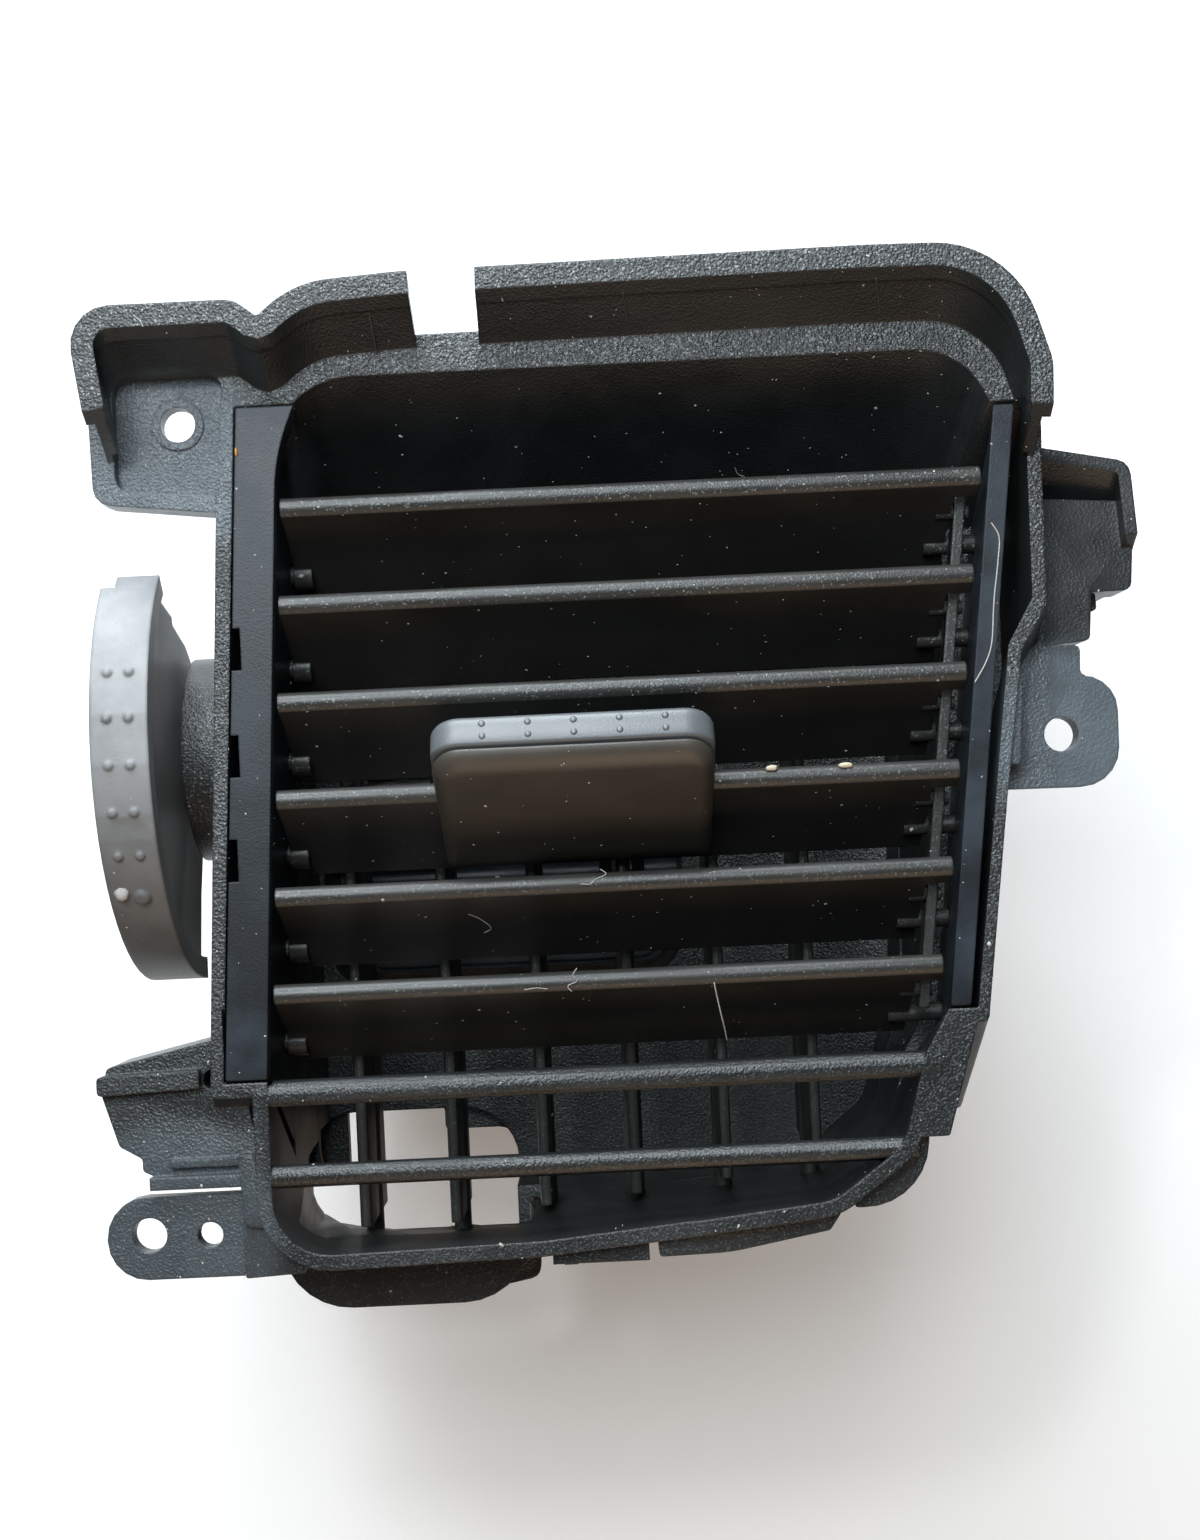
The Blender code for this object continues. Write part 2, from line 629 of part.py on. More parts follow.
def extended(front, rear, t):
    """Outline on the straight line through two matching outlines, at the share t of the way."""
    a, b = rounded(front), rounded(rear)
    return [(p[0] + (q[0] - p[0]) * t, p[1] + (q[1] - p[1]) * t) for p, q in zip(a, b)]


def add_fixed_bars(body):
    """Two short fixed bars below the moving vanes."""
    for z_front, nose in zip(BAR_Z, BAR_NOSE):
        section = arc(nose + 0.3, 0.0, nose, 90, 270, 6) + [(BAR_CHORD, -0.9), (BAR_CHORD, 0.9)]
        x1 = 46.6 if z_front > -40 else 43.4
        join(body, along_x_chord(section, z_front, -49.8, x1))
    seat = [(-54.8, -20.0), (-48.3, -20.0), (-48.3, -30.75), (-54.8, -30.75)]
    cut(body, along_y(seat, -0.5, 22.4, RAKE))


def add_upright_bearings(body):
    """Rail above the vertical vanes and a bearing boss below each."""
    join(body, box(-48.4, 52.6, UPRIGHT_HINGE - RAIL_HALF, UPRIGHT_HINGE + RAIL_HALF, RAIL_Z[0], RAIL_Z[1]))
    for index in range(UPRIGHT_COUNT):
        x, end = upright_x(index), UPRIGHT_PIN_END[index]
        join(body, along_z(circle(x, UPRIGHT_HINGE, 3.2, 16), end - 2.0, end + 1.0))
        cut(body, along_z(circle(x, UPRIGHT_HINGE, UPRIGHT_PIN_R + GAP, 16), end - GAP, end + 3.0))
        cut(body, along_z(circle(x, UPRIGHT_HINGE, UPRIGHT_PIN_R + GAP, 16), RAIL_Z[0] - 1, RAIL_Z[1] + 1))


HOOKS = ((-1, -51.0, -6.0), (-1, -51.0, -34.0), (1, 54.0, 12.0), (1, 52.6, -18.0))


def add_hooks(body):
    """Wedge hooks that hold the rear duct's loops."""
    front, crest, rear = TUBE_LENGTH - 5.2, TUBE_LENGTH - 2.2, TUBE_LENGTH - 2.0
    for side, x, z in HOOKS:
        root, tip = x - side * 1.6, x + side * 2.6
        wedge = [(root, front), (tip, crest), (tip, rear), (root, rear)]
        join(body, along_z(wedge, z - 2.6, z + 2.6))


# Rear duct and its seals

def flange_outline(inset):
    """Outline of the side-window flange, whose lower side bulges; drawn smaller by an inset."""
    x0, x1, z0, z1 = *FLANGE_X, *FLANGE_Z
    corners = [
        (x0, z1, FLANGE_R), (x1, z1, FLANGE_R), (x1 - 2.3, z0 + 3.7, 2.0), (-33.4, z0, 40.0),
        (x0, z0 + 7.4, FLANGE_R - 4.0),
    ]
    return offset(rounded(corners), -inset)


def outlet_outline():
    """Outline of the opening in the flange, blocked at its upper left and lower at its upper right."""
    x0, x1, z0, z1 = *OUTLET_X, *OUTLET_Z
    left, right = OUTLET_STEP
    low, high = OUTLET_SILL
    return rounded([
        (left, z1, 0.6), (right, z1, 0.6), (right, high, 0.6), (x1, high, 3.5), (x1, z0, OUTLET_R),
        (x0, z0, OUTLET_R), (x0, low, 1.0), (left, low, 0.6),
    ])


def build_rear_duct():
    """Closing duct behind the tube: chamber, main collar, side-window passage and flange."""
    front_y = TUBE_LENGTH + GAP
    body = loft_y(wall_outline(CAVITY_REAR), front_y, wall_outline(CAVITY_BACK), DUCT_REAR)
    x0, x1, z0, z1 = *OUTLET_X, *OUTLET_Z
    passage = box_outline(x0 - WALL, x1 + WALL, z0 - WALL, z1 + WALL, OUTLET_R + WALL)
    join(body, along_y(passage, front_y + 0.01, DUCT_REAR + 0.4))
    join(body, along_y(flange_outline(0.0), DUCT_REAR, DUCT_REAR + FLANGE_THICK))
    x0, x1, z0, z1 = *COLLAR_X, *COLLAR_Z
    tube = box_outline(x0 - WALL, x1 + WALL, z0 - WALL, z1 + WALL, COLLAR_R + WALL)
    join(body, along_y(tube, DUCT_REAR - 4.0, COLLAR_END))
    collar_rib = box_outline(x0 - 4.0, x1 + 4.0, z0 - 4.0, z1 + 4.0, COLLAR_R + 4.0)
    join(body, along_y(collar_rib, COLLAR_END - 11.0, COLLAR_END - 9.0))
    for z in (-30.0, 22.0):
        join(body, box(-40.0, -38.0, DUCT_REAR - 1.0, DUCT_REAR + 14.0, z - 7.2, z + 7.2))
        join(body, box(4.0, 6.0, DUCT_REAR - 1.0, DUCT_REAR + 14.0, z - 7.2, z + 7.2))
    for side, x, z in HOOKS:
        near, far = sorted((x + side * 0.6, x + side * 2.2))
        join(body, box(near, far, TUBE_LENGTH - 9.0, TUBE_LENGTH + 10.0, z - 5.0, z + 5.0))
        near, far = sorted((x - side * 3.0, x + side * 2.1))
        join(body, box(near, far, TUBE_LENGTH + 4.0, TUBE_LENGTH + 9.9, z - 4.9, z + 4.9))
        near, far = sorted((x + side * 0.1, x + side * 4.0))
        cut(body, box(near, far, TUBE_LENGTH - 5.6, TUBE_LENGTH - 1.6, z - 3.0, z + 3.0))
    chamber_front = extended(CAVITY_REAR, CAVITY_BACK, -2.0 / DUCT_LENGTH)
    cut(body, loft_y(chamber_front, front_y - 2.0, rounded(CAVITY_BACK), DUCT_REAR - 2.0))
    outlet = box_outline(*OUTLET_X, *OUTLET_Z, OUTLET_R)
    cut(body, along_y(outlet, front_y + 2.0, DUCT_REAR - 0.1))
    cut(body, along_y(outlet_outline(), DUCT_REAR - 1.0, DUCT_REAR + 6.0))
    mouth = box_outline(*PASSAGE_X, PASSAGE_FLOOR, -50.0, 2.0)
    cut(body, along_y(mouth, front_y - 1.0, front_y + 3.0))
    collar = box_outline(*COLLAR_X, *COLLAR_Z, COLLAR_R)
    cut(body, along_y(collar, DUCT_REAR - 5.0, COLLAR_END + 2.0))
    cut(body, along_x(circle(DAMPER_Y, DAMPER_Z, SHAFT_R + GAP, 20), -56.0, 22.0))
    return finish(body, "rear_duct", "housing_plastic")


def ring(outline_out, outline_in, y0, y1):
    """Flat ring between two outlines."""
    body = along_y(outline_out, y0, y1)
    return cut(body, along_y(outline_in, y0 - 1.0, y1 + 1.0))


def build_seals():
    """Foam rings on the side-window flange and round the main collar."""
    y = DUCT_REAR + FLANGE_THICK + GAP
    outer = flange_outline(0.4)
    x0, x1, z0, z1 = *OUTLET_X, *OUTLET_Z
    inner = box_outline(x0 - 0.6, x1 + 0.6, z0 - 0.6, z1 + 0.6, OUTLET_R + 0.6)
    finish(ring(outer, inner, y, y + 4.0), "outlet_seal", "seal_foam")
    x0, x1, z0, z1 = *COLLAR_X, *COLLAR_Z
    near, far = WALL + GAP, WALL + 3.6
    outer = box_outline(x0 - far, x1 + far, z0 - far, z1 + far, COLLAR_R + far)
    inner = box_outline(x0 - near, x1 + near, z0 - near, z1 + near, COLLAR_R + near)
    finish(ring(outer, inner, COLLAR_END - 8.6, COLLAR_END - 1.4), "collar_seal", "seal_foam")


# Vane carriers

def slanted_cheek(edge, side, z_top, z_bottom):
    """Upright plate beside the vane ends; it follows a carrier's edge and the rake."""
    x = [edge(z_top), edge(z_bottom)]
    far = [x[0] + side * CHEEK, x[1] + side * CHEEK]
    outline = [(x[0], z_top), (far[0], z_top), (far[1], z_bottom), (x[1], z_bottom)]
    return along_y(outline, 1.0, CHEEK_DEPTH, RAKE)


def build_carriers():
    """Two snap-in strips whose cheeks hold the pivots of the horizontal vanes."""
    left = along_y(rounded(LEFT_STRIP), 0.0, STRIP_DEPTH, RAKE)
    join(left, slanted_cheek(lambda z: left_edge(z) - 0.02, -1, 60.0, -29.4))
    for z in (58.0, 29.0, 1.0, -27.0):
        rib = [(left_edge(z) - 0.9, z), (left_edge(z) - 0.9, z - 1.4), (left_edge(z) - 4.6, z - 1.4), (left_edge(z) - 4.6, z)]
        join(left, along_y(rib, 1.0, 12.0, RAKE))
    for z in SNAPS_Z:
        x = left_edge(z) - 5.9
        cut(left, box(x - 2.0, x + 1.1, -1.0, 3.0, z - 5.6, z + 0.4))
    right_strip = []
    for z, shift in ((60.6, 0.0), (60.6, 2.9), (-24.4, 2.9), (-24.4, 0.0)):
        right_strip.append((right_edge(z) + shift, z, 0.3))
    right = along_y(rounded(right_strip), 0.0, STRIP_DEPTH, RAKE)
    join(right, slanted_cheek(lambda z: right_edge(z) + 0.02, 1, 58.0, -24.4))
    for z in (54.0, 20.0, -14.0):
        x = right_edge(z)
        rib = [(x + 0.9, z), (x + 2.8, z), (x + 2.8, z - 1.4), (x + 0.9, z - 1.4)]
        join(right, along_y(rib, 1.0, 12.0, RAKE))
    for index in range(VANE_COUNT):
        y, z = vane_pivot(index)
        cut(left, along_x(circle(y, z, VANE_PIN_R + GAP, 16), -56.0, -40.0))
        cut(right, along_x(circle(y, z, VANE_PIN_R + GAP, 16), 46.0, 66.0))
    finish(left, "left_vane_carrier", "carrier_plastic")
    finish(right, "right_vane_carrier", "carrier_plastic")


# Horizontal vanes

def vane_section():
    """Section of a vane in chord and normal: round nose, thin body, slimmer tail."""
    nose = arc(VANE_NOSE, 0.0, VANE_NOSE, 90, 270, 8)
    under = [(5.2, -0.85), (VANE_CHORD - 0.4, -0.5), (VANE_CHORD, -0.25)]
    return nose + under + [(u, -n) for u, n in under[::-1]]


def build_vane(index):
    """One tilting vane with its pivots, left collar and the pin for the link bar."""
    z_front = vane_front_z(index)
    x0, x1 = left_edge(z_front) + LEFT_GAP, right_edge(z_front) - RIGHT_GAP
    if index == VANE_COUNT - 1:
        x1 -= LAST_VANE_TRIM
    y, z = vane_pivot(index)
    vane = along_x_chord(vane_section(), z_front, x0, x1)
    step = [(VANE_STEP_U, -3.0), (VANE_CHORD + 2, -3.0), (VANE_CHORD + 2, 3.0), (VANE_STEP_U, 3.0)]
    cut(vane, along_x_chord(step, z_front, x1 - VANE_STEP_X, x1 + 3.0))
    join(vane, along_x(circle(y, z, VANE_PIN_R, 14), left_edge(z_front) - CHEEK - 0.6, x0 + 1.5))
    join(vane, along_x(circle(y, z, 2.2, 14), x0 - LEFT_GAP + GAP + 0.15, x0 + 2.5))
    join(vane, along_x(circle(y, z, VANE_PIN_R, 14), x1 - VANE_STEP_X - 3.0, right_edge(z_front) + CHEEK + 0.6))
    py, pz = link_pin(index)
    join(vane, along_x(circle(py, pz, LINK_PIN_R, 12), x1 - VANE_STEP_X - 2.0, x1 - 0.6))
    return finish(vane, f"horizontal_vane_{index + 1}", "vane_plastic", (0.0, y, z))


def build_vane_link():
    """Bar that couples the six horizontal vanes at their right ends."""
    places = [link_pin(index) for index in range(VANE_COUNT)]
    middles = [right_edge(vane_front_z(index)) - RIGHT_GAP - 2.1 for index in range(VANE_COUNT)]
    (y, top), (_, bottom) = places[0], places[-1]
    slope = (middles[0] - middles[-1]) / (top - bottom)
    ends = []
    for z in (top + 2.6, bottom - 2.6):
        x = middles[0] + (z - top) * slope
        ends += [(x - LINK_THICK / 2, z), (x + LINK_THICK / 2, z)]
    bar = along_y([ends[0], ends[1], ends[3], ends[2]], y - LINK_WIDTH / 2, y + LINK_WIDTH / 2)
    for py, pz in places:
        cut(bar, along_x(circle(py, pz, LINK_PIN_R + 0.25, 12), 40.0, 62.0))
    return finish(bar, "vane_link_bar", "vane_plastic", (middles[2], places[2][0], places[2][1]))


# Knob

def knob_plan():
    """Plan of the knob in X and chord, with rounded front corners."""
    return rounded([(KNOB_X[0], KNOB_REAR_U, 1.0), (KNOB_X[0], -14.2, 4.2), (KNOB_X[1], -14.2, 4.2), (KNOB_X[1], KNOB_REAR_U, 1.0)])


def knob_block(profile, z_front):
    """Knob profile in chord and normal, trimmed by the knob's plan."""
    block = along_x_chord(profile, z_front, KNOB_X[0] - 1, KNOB_X[1] + 1)
    rings = []
    for n in (-8.0, 8.0):
        level = []
        for x, u in knob_plan():
            y, z = chord_point(u, n, z_front)
            level.append((x, y, z))
        rings.append(level)
    return combine(block, [skin(rings)], "INTERSECT")


def build_knob():
    """Upper shell with grip bumps and fork, lower shell, and the friction pad between them."""
    z_front = vane_front_z(3)
    y0, z0 = chord_point(0.0, 0.0, z_front)
    upper = knob_block(
        [
            (-11.2, KNOB_SEAM), (-12.95, 1.5), (-13.15, 2.1), (-13.05, 2.65), (-12.6, KNOB_TOP - 0.15),
            (-11.9, KNOB_TOP), (KNOB_REAR_U, KNOB_TOP), (KNOB_REAR_U, KNOB_SEAM),
        ],
        z_front,
    )
    channel = [(-0.6, -KNOB_CHANNEL), (16.0, -KNOB_CHANNEL), (16.0, KNOB_CHANNEL), (-0.6, KNOB_CHANNEL)]
    cut(upper, along_x_chord(channel, z_front, KNOB_X[0] - 3, KNOB_X[1] + 3))
    fork_x = upright_x(UPRIGHT_DRIVEN)
    for side in (-1, 1):
        near, far = sorted((fork_x + side * FORK_SLOT, fork_x + side * (FORK_SLOT + FORK_ARM)))
        arm = [(9.0, 1.98), (FORK_END_U, 1.98), (FORK_END_U, KNOB_TOP - 0.02), (9.0, KNOB_TOP - 0.02)]
        join(upper, along_x_chord(arm, z_front, near, far))
    tie = [(10.5, 1.98), (15.0, 1.98), (15.0, KNOB_TOP - 0.03), (10.5, KNOB_TOP - 0.03)]
    join(upper, along_x_chord(tie, z_front, fork_x - FORK_SLOT - 0.5, fork_x + FORK_SLOT + 0.5))
    bump_marks(upper, z_front)
    finish(upper, "knob_upper_shell", "knob_plastic", (-3.0, y0, z0))
    lower = knob_block(
        [
            (-11.0, KNOB_SEAM - GAP), (-10.8, KNOB_BOTTOM + 1.4), (-10.0, KNOB_BOTTOM + 0.6), (-8.6, KNOB_BOTTOM + 0.1),
            (-7.2, KNOB_BOTTOM), (KNOB_REAR_U, KNOB_BOTTOM), (KNOB_REAR_U, KNOB_SEAM - GAP),
        ],
        z_front,
    )
    cut(lower, along_x_chord(channel, z_front, KNOB_X[0] - 3, KNOB_X[1] + 3))
    pad_seat = [(5.1, -2.3), (10.3, -2.3), (10.3, 0.0), (5.1, 0.0)]
    cut(lower, along_x_chord(pad_seat, z_front, -9.3, 3.3))
    finish(lower, "knob_lower_shell", "knob_plastic", (-3.0, y0, z0))
    pad = along_x_chord([(5.4, -2.0), (10.0, -2.0), (10.0, -1.15), (5.4, -1.15)], z_front, -9.0, 3.0)
    finish(pad, "knob_friction_pad", "pad_rubber", (-3.0, y0, z0))


def bump_marks(upper, z_front):
    """Two rows of five low grip bumps on the knob's front band."""
    for row, (u, n) in enumerate(((-12.66, 1.05), (-11.92, -0.1))):
        y, z = chord_point(u, n, z_front)
        for k in range(5):
            x = -17.6 + 6.3 * k + 2.2
            base = circle(x, z, BUMP_R, 8)
            tip = circle(x, z, BUMP_R * 0.45, 8)
            join(upper, loft_y(tip, y - BUMP_H, base, y + 0.6))


# Vertical vanes

def build_uprights():
    """Six swivelling vanes; one has a deep notch with the rod that the fork drives."""
    half = UPRIGHT_THICK / 2
    for index in range(UPRIGHT_COUNT):
        x, bottom = upright_x(index), UPRIGHT_BOTTOM[index]
        plan = [
            (x - half, UPRIGHT_REAR, 0.5), (x - half, UPRIGHT_FRONT, 0.8), (x + half, UPRIGHT_FRONT, 0.8),
            (x + half, UPRIGHT_REAR, 0.5),
        ]
        vane = along_z(rounded(plan), bottom, UPRIGHT_TOP)
        join(vane, along_z(circle(x, UPRIGHT_HINGE, UPRIGHT_PIN_R, 14), UPRIGHT_PIN_END[index], UPRIGHT_TOP + 2.6))
        pin_y = UPRIGHT_HINGE + SWIVEL_ARM
        join(vane, along_z(circle(x, pin_y, SWIVEL_PIN_R, 12), UPRIGHT_TOP - 2.0, UPRIGHT_TOP + 2.4))
        if index == UPRIGHT_DRIVEN:
            z0, z1 = ROD_Z
            cut(vane, box(x - 2, x + 2, UPRIGHT_FRONT - 1, NOTCH_REAR, z0, z1))
            for low, high in ((z0 - 2.2, z0), (z1, z1 + 2.2)):
                join(vane, box(x - 0.88, x + 0.88, ROD_Y - 1.0, UPRIGHT_FRONT + 2.0, low, high))
            join(vane, along_z(circle(x, ROD_Y, ROD_R, 14), z0 - 1.0, z1 + 1.0))
        finish(vane, f"vertical_vane_{index + 1}", "vane_plastic", (x, UPRIGHT_HINGE, 0.0))


def build_swivel_link():
    """Bar that couples the six vertical vanes above their top edges."""
    y = UPRIGHT_HINGE + SWIVEL_ARM
    x0, x1 = upright_x(0) - 2.6, upright_x(UPRIGHT_COUNT - 1) + 2.6
    bar = along_z(box_outline(x0, x1, y - 1.9, y + 1.7, 1.2), UPRIGHT_TOP + GAP, UPRIGHT_TOP + 1.7)
    for index in range(UPRIGHT_COUNT):
        cut(bar, along_z(circle(upright_x(index), y, SWIVEL_PIN_R + 0.25, 12), 30.0, 45.0))
    return finish(bar, "vertical_link_bar", "natural_plastic", (upright_x(2), y, UPRIGHT_TOP))


# Thumbwheel, rod and damper

def build_wheel():
    """Thumbwheel sector: ribbed rim, web with a stepped top edge, hub and rod pin."""
    start, end = RIM_ANGLES
    outer = arc(WHEEL_Y, WHEEL_Z, WHEEL_R, start, end, 22)
    inner = arc(WHEEL_Y, WHEEL_Z, WHEEL_R - RIM, end, start, 22)
    wheel = along_x(outer + inner, WHEEL_X[0], WHEEL_X[1])
    crown = arc(WHEEL_Y, WHEEL_Z, WHEEL_R, CROWN_ANGLE, start + 1.0, 2)
    crown += arc(WHEEL_Y, WHEEL_Z, WHEEL_R - RIM, start + 1.0, CROWN_ANGLE, 2)
    join(wheel, along_x(crown, *CROWN_X))
    rim_edge = arc(WHEEL_Y, WHEEL_Z, WHEEL_R - 0.8, start + 0.6, end - 0.6, 20)
    back = [(WHEEL_Y + y * WHEEL_R, WHEEL_Z + z * WHEEL_R) for y, z in WEB_BACK]
    join(wheel, along_x(rim_edge + back, WEB_X[0], WEB_X[1]))
    join(wheel, along_x(circle(WHEEL_Y, WHEEL_Z, 7.5, 24), WEB_X[0] - 0.4, BOSS_END - GAP))
    y, z = crank_pin(WHEEL_Y, WHEEL_Z)
    join(wheel, along_x(circle(y, z, CRANK_PIN_R, 14), ROD_X[0] - 1.7, WEB_X[0] + 1.0))
    cut(wheel, along_x(circle(WHEEL_Y, WHEEL_Z, 2.7 + GAP, 20), WEB_X[0] - 3, BOSS_END + 1))
    for angle in (161.0, 172.3, 183.5, 194.8, 205.7):
        for x in (-66.6, -63.6):
            a = radians(angle)
            cy, cz = WHEEL_Y + WHEEL_R * cos(a), WHEEL_Z + WHEEL_R * sin(a)
            join(wheel, dome(x, cy, cz, a, 0.75, 0.4))
    a = radians(217.3)
    cy, cz = WHEEL_Y + WHEEL_R * cos(a), WHEEL_Z + WHEEL_R * sin(a)
    join(wheel, dome(-64.4, cy, cz, a, 1.4, 0.5))
    return finish(wheel, "thumbwheel", "wheel_plastic", (-62.0, WHEEL_Y, WHEEL_Z))


def dome(x, y, z, angle, radius, height):
    """Low round mark that stands out along a direction in Y and Z."""
    out = (cos(angle), sin(angle))
    side = (-sin(angle), cos(angle))
    rings = []
    for share, lift in ((1.0, -0.8), (1.0, 0.05), (0.55, height)):
        ring_points = []
        for k in range(10):
            t = 2 * pi * k / 10
            s = radius * share * sin(t)
            ring_points.append((x + radius * share * cos(t), y + out[0] * lift + side[0] * s, z + out[1] * lift + side[1] * s))
        rings.append(ring_points)
    return skin(rings)


def build_wheel_pin():
    """Headed pin that holds the thumbwheel on the housing's boss."""
    pin = along_x(circle(WHEEL_Y, WHEEL_Z, 2.7, 20), WEB_X[0] - 1.4, -53.2)
    join(pin, along_x(circle(WHEEL_Y, WHEEL_Z, 5.0, 24), WEB_X[0] - 2.0, WEB_X[0] - 0.7))
    return finish(pin, "wheel_pin", "natural_plastic")


def eye_bar(first, second, eye, half_width, x0, x1, hole):
    """Straight bar with a round eye at each end."""
    (ay, az), (by, bz) = first, second
    length = hypot(by - ay, bz - az)
    sy, sz = -(bz - az) / length * half_width, (by - ay) / length * half_width
    bar = along_x([(ay + sy, az + sz), (by + sy, bz + sz), (by - sy, bz - sz), (ay - sy, az - sz)], x0, x1)
    for y, z in (first, second):
        join(bar, along_x(circle(y, z, eye, 20), x0 - 0.001, x1 + 0.001))
    for y, z in (first, second):
        cut(bar, along_x(circle(y, z, hole, 16), x0 - 2, x1 + 2))
    return bar


def build_linkage():
    """Rod from the thumbwheel to the damper crank, the crank, and the push-on clips."""
    first = crank_pin(WHEEL_Y, WHEEL_Z)
    second = crank_pin(DAMPER_Y, DAMPER_Z)
    bar = eye_bar(first, second, 4.2, 2.1, ROD_X[0], ROD_X[1], CRANK_PIN_R + GAP)
    finish(bar, "wheel_link_rod", "natural_plastic", ((ROD_X[0] + ROD_X[1]) / 2, *first))
    crank = along_x(circle(DAMPER_Y, DAMPER_Z, 5.2, 24), -63.6, -58.4)
    y, z = second
    length = CRANK_R
    ay, az = (y - DAMPER_Y) / length, (z - DAMPER_Z) / length
    arm = []
    for along, side in ((0.0, 4.4), (CRANK_R, 3.2), (CRANK_R, -3.2), (0.0, -4.4)):
        arm.append((DAMPER_Y + ay * along - az * side, DAMPER_Z + az * along + ay * side))
    join(crank, along_x(arm, -63.59, -61.6))
    join(crank, along_x(circle(y, z, 3.2, 20), -63.58, -61.61))
    join(crank, along_x(circle(y, z, CRANK_PIN_R, 14), ROD_X[0] - 1.7, -62.6))
    cut(crank, along_x(circle(DAMPER_Y, DAMPER_Z, SHAFT_R + GAP, 20), -62.0, -57.0))
    finish(crank, "damper_crank", "natural_plastic", (-61.0, DAMPER_Y, DAMPER_Z))
    for name, (y, z) in (("rod_clip_front", first), ("rod_clip_rear", second)):
        clip = along_x(circle(y, z, 3.6, 20), ROD_X[0] - 1.0, ROD_X[0] - GAP)
        cut(clip, along_x(circle(y, z, CRANK_PIN_R + GAP, 14), ROD_X[0] - 3, ROD_X[0] + 1))
        finish(clip, name, "clip_steel", (ROD_X[0], y, z))


def build_damper():
    """Butterfly flap on its shaft, with a foam face."""
    x0, x1 = COLLAR_X[0] + 0.7, COLLAR_X[1] - 0.7
    z0, z1 = COLLAR_Z[0] + 0.9, COLLAR_Z[1] - 0.9
    flap = along_y(box_outline(x0, x1, z0, z1, COLLAR_R - 1.0), DAMPER_Y - 1.0, DAMPER_Y + 1.0)
    join(flap, along_x(circle(DAMPER_Y, DAMPER_Z, SHAFT_R, 20), -61.4, 17.4))
    for x in (-36.0, -17.0, 2.0):
        rib = [(DAMPER_Y + 0.9, z1 - 3.0), (DAMPER_Y + 0.9, z0 + 3.0), (DAMPER_Y + 2.6, -6.0), (DAMPER_Y + 2.6, -2.0)]
        join(flap, along_x(rib, x - 0.8, x + 0.8))
    finish(flap, "damper_flap", "carrier_plastic", (-17.0, DAMPER_Y, DAMPER_Z))
    for name, low, high in (("damper_foam_upper", DAMPER_Z + 3.2, z1 - 1.0), ("damper_foam_lower", z0 + 1.0, DAMPER_Z - 3.2)):
        foam = along_y(box_outline(x0 + 2.5, x1 - 2.5, low, high, 4.5), DAMPER_Y - 2.8, DAMPER_Y - 1.0 - GAP)
        finish(foam, name, "seal_foam", (-17.0, DAMPER_Y, DAMPER_Z))


build_housing()
build_rear_duct()
build_seals()
build_carriers()
for vane_index in range(VANE_COUNT):
    build_vane(vane_index)
build_vane_link()
build_knob()
build_uprights()
build_swivel_link()
build_wheel()
build_wheel_pin()
build_linkage()
build_damper()
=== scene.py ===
import json
import logging
from dataclasses import dataclass, field
from enum import Enum
from math import atan, cos, radians, sin

import bmesh
import bpy
import numpy as np
from mathutils import Matrix, Vector

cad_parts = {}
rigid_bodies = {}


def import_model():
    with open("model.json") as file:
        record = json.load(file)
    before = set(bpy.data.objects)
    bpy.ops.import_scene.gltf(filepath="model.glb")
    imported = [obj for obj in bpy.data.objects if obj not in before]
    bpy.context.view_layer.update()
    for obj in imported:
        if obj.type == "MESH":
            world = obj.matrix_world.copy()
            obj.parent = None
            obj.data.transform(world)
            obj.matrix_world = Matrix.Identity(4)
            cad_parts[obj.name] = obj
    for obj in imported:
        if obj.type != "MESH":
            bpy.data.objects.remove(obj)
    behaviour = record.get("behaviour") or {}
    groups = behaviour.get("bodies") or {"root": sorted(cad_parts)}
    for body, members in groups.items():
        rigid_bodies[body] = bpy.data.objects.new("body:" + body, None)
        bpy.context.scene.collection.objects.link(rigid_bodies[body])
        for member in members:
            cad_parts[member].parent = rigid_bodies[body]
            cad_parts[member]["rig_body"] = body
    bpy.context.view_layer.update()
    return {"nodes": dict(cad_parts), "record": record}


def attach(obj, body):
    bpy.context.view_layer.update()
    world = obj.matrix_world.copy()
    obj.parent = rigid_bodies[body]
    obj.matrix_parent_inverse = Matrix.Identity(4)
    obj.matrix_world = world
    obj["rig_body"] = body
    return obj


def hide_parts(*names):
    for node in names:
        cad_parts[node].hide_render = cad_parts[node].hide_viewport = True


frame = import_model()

LOG = logging.getLogger("air_vent")
MM = 0.001
LEDGE_Z = 70.4
PHOTO_WIDTH = 1200
PHOTO_HEIGHT = 1540
FOCAL_PIXELS = 1900.0
AXIS_PIXEL = (600.0, 850.0)
CAMERA_BACK = 270.0
ROLL = radians(2.7)
SENSOR = 36.0
DUST_COLOUR = (0.62, 0.61, 0.58)
DUST_CELLS = 420.0
# Painted glints: a share of small cells turned a lighter colour on the high front faces, standing in for
# highlights.
PAINTED_GLINT_CELLS = 3500.0
PAINTED_GLINT_SIZE = 0.60
PAINTED_GLINT_COLOUR = (0.200, 0.228, 0.236)
GLINT_DEPTH = (0.3, 0.7)
# Painted sheen: the lighter colour of the three screw tabs.
PAINTED_SHEEN_COLOUR = (0.100, 0.122, 0.142)
# Painted shade: heights over which the wheel turns darker and browner toward the bottom, fully below the
# lower one.
PAINTED_SHADE_HEIGHTS = (-0.112, -0.022)


class Slot(Enum):
    """Material slots of the record that the pieces take their finish from."""

    HOUSING = "housing_plastic"
    CARRIER = "carrier_plastic"
    VANE = "vane_plastic"
    KNOB = "knob_plastic"
    WHEEL = "wheel_plastic"
    NATURAL = "natural_plastic"
    CLIP = "clip_steel"
    FOAM = "seal_foam"
    PAD = "pad_rubber"


def frame_point(x: float, y: float, z: float) -> Vector:
    """Point of the grille frame, in millimetres, as metres of the shared frame."""
    return Vector((x, y, z - LEDGE_Z)) * MM
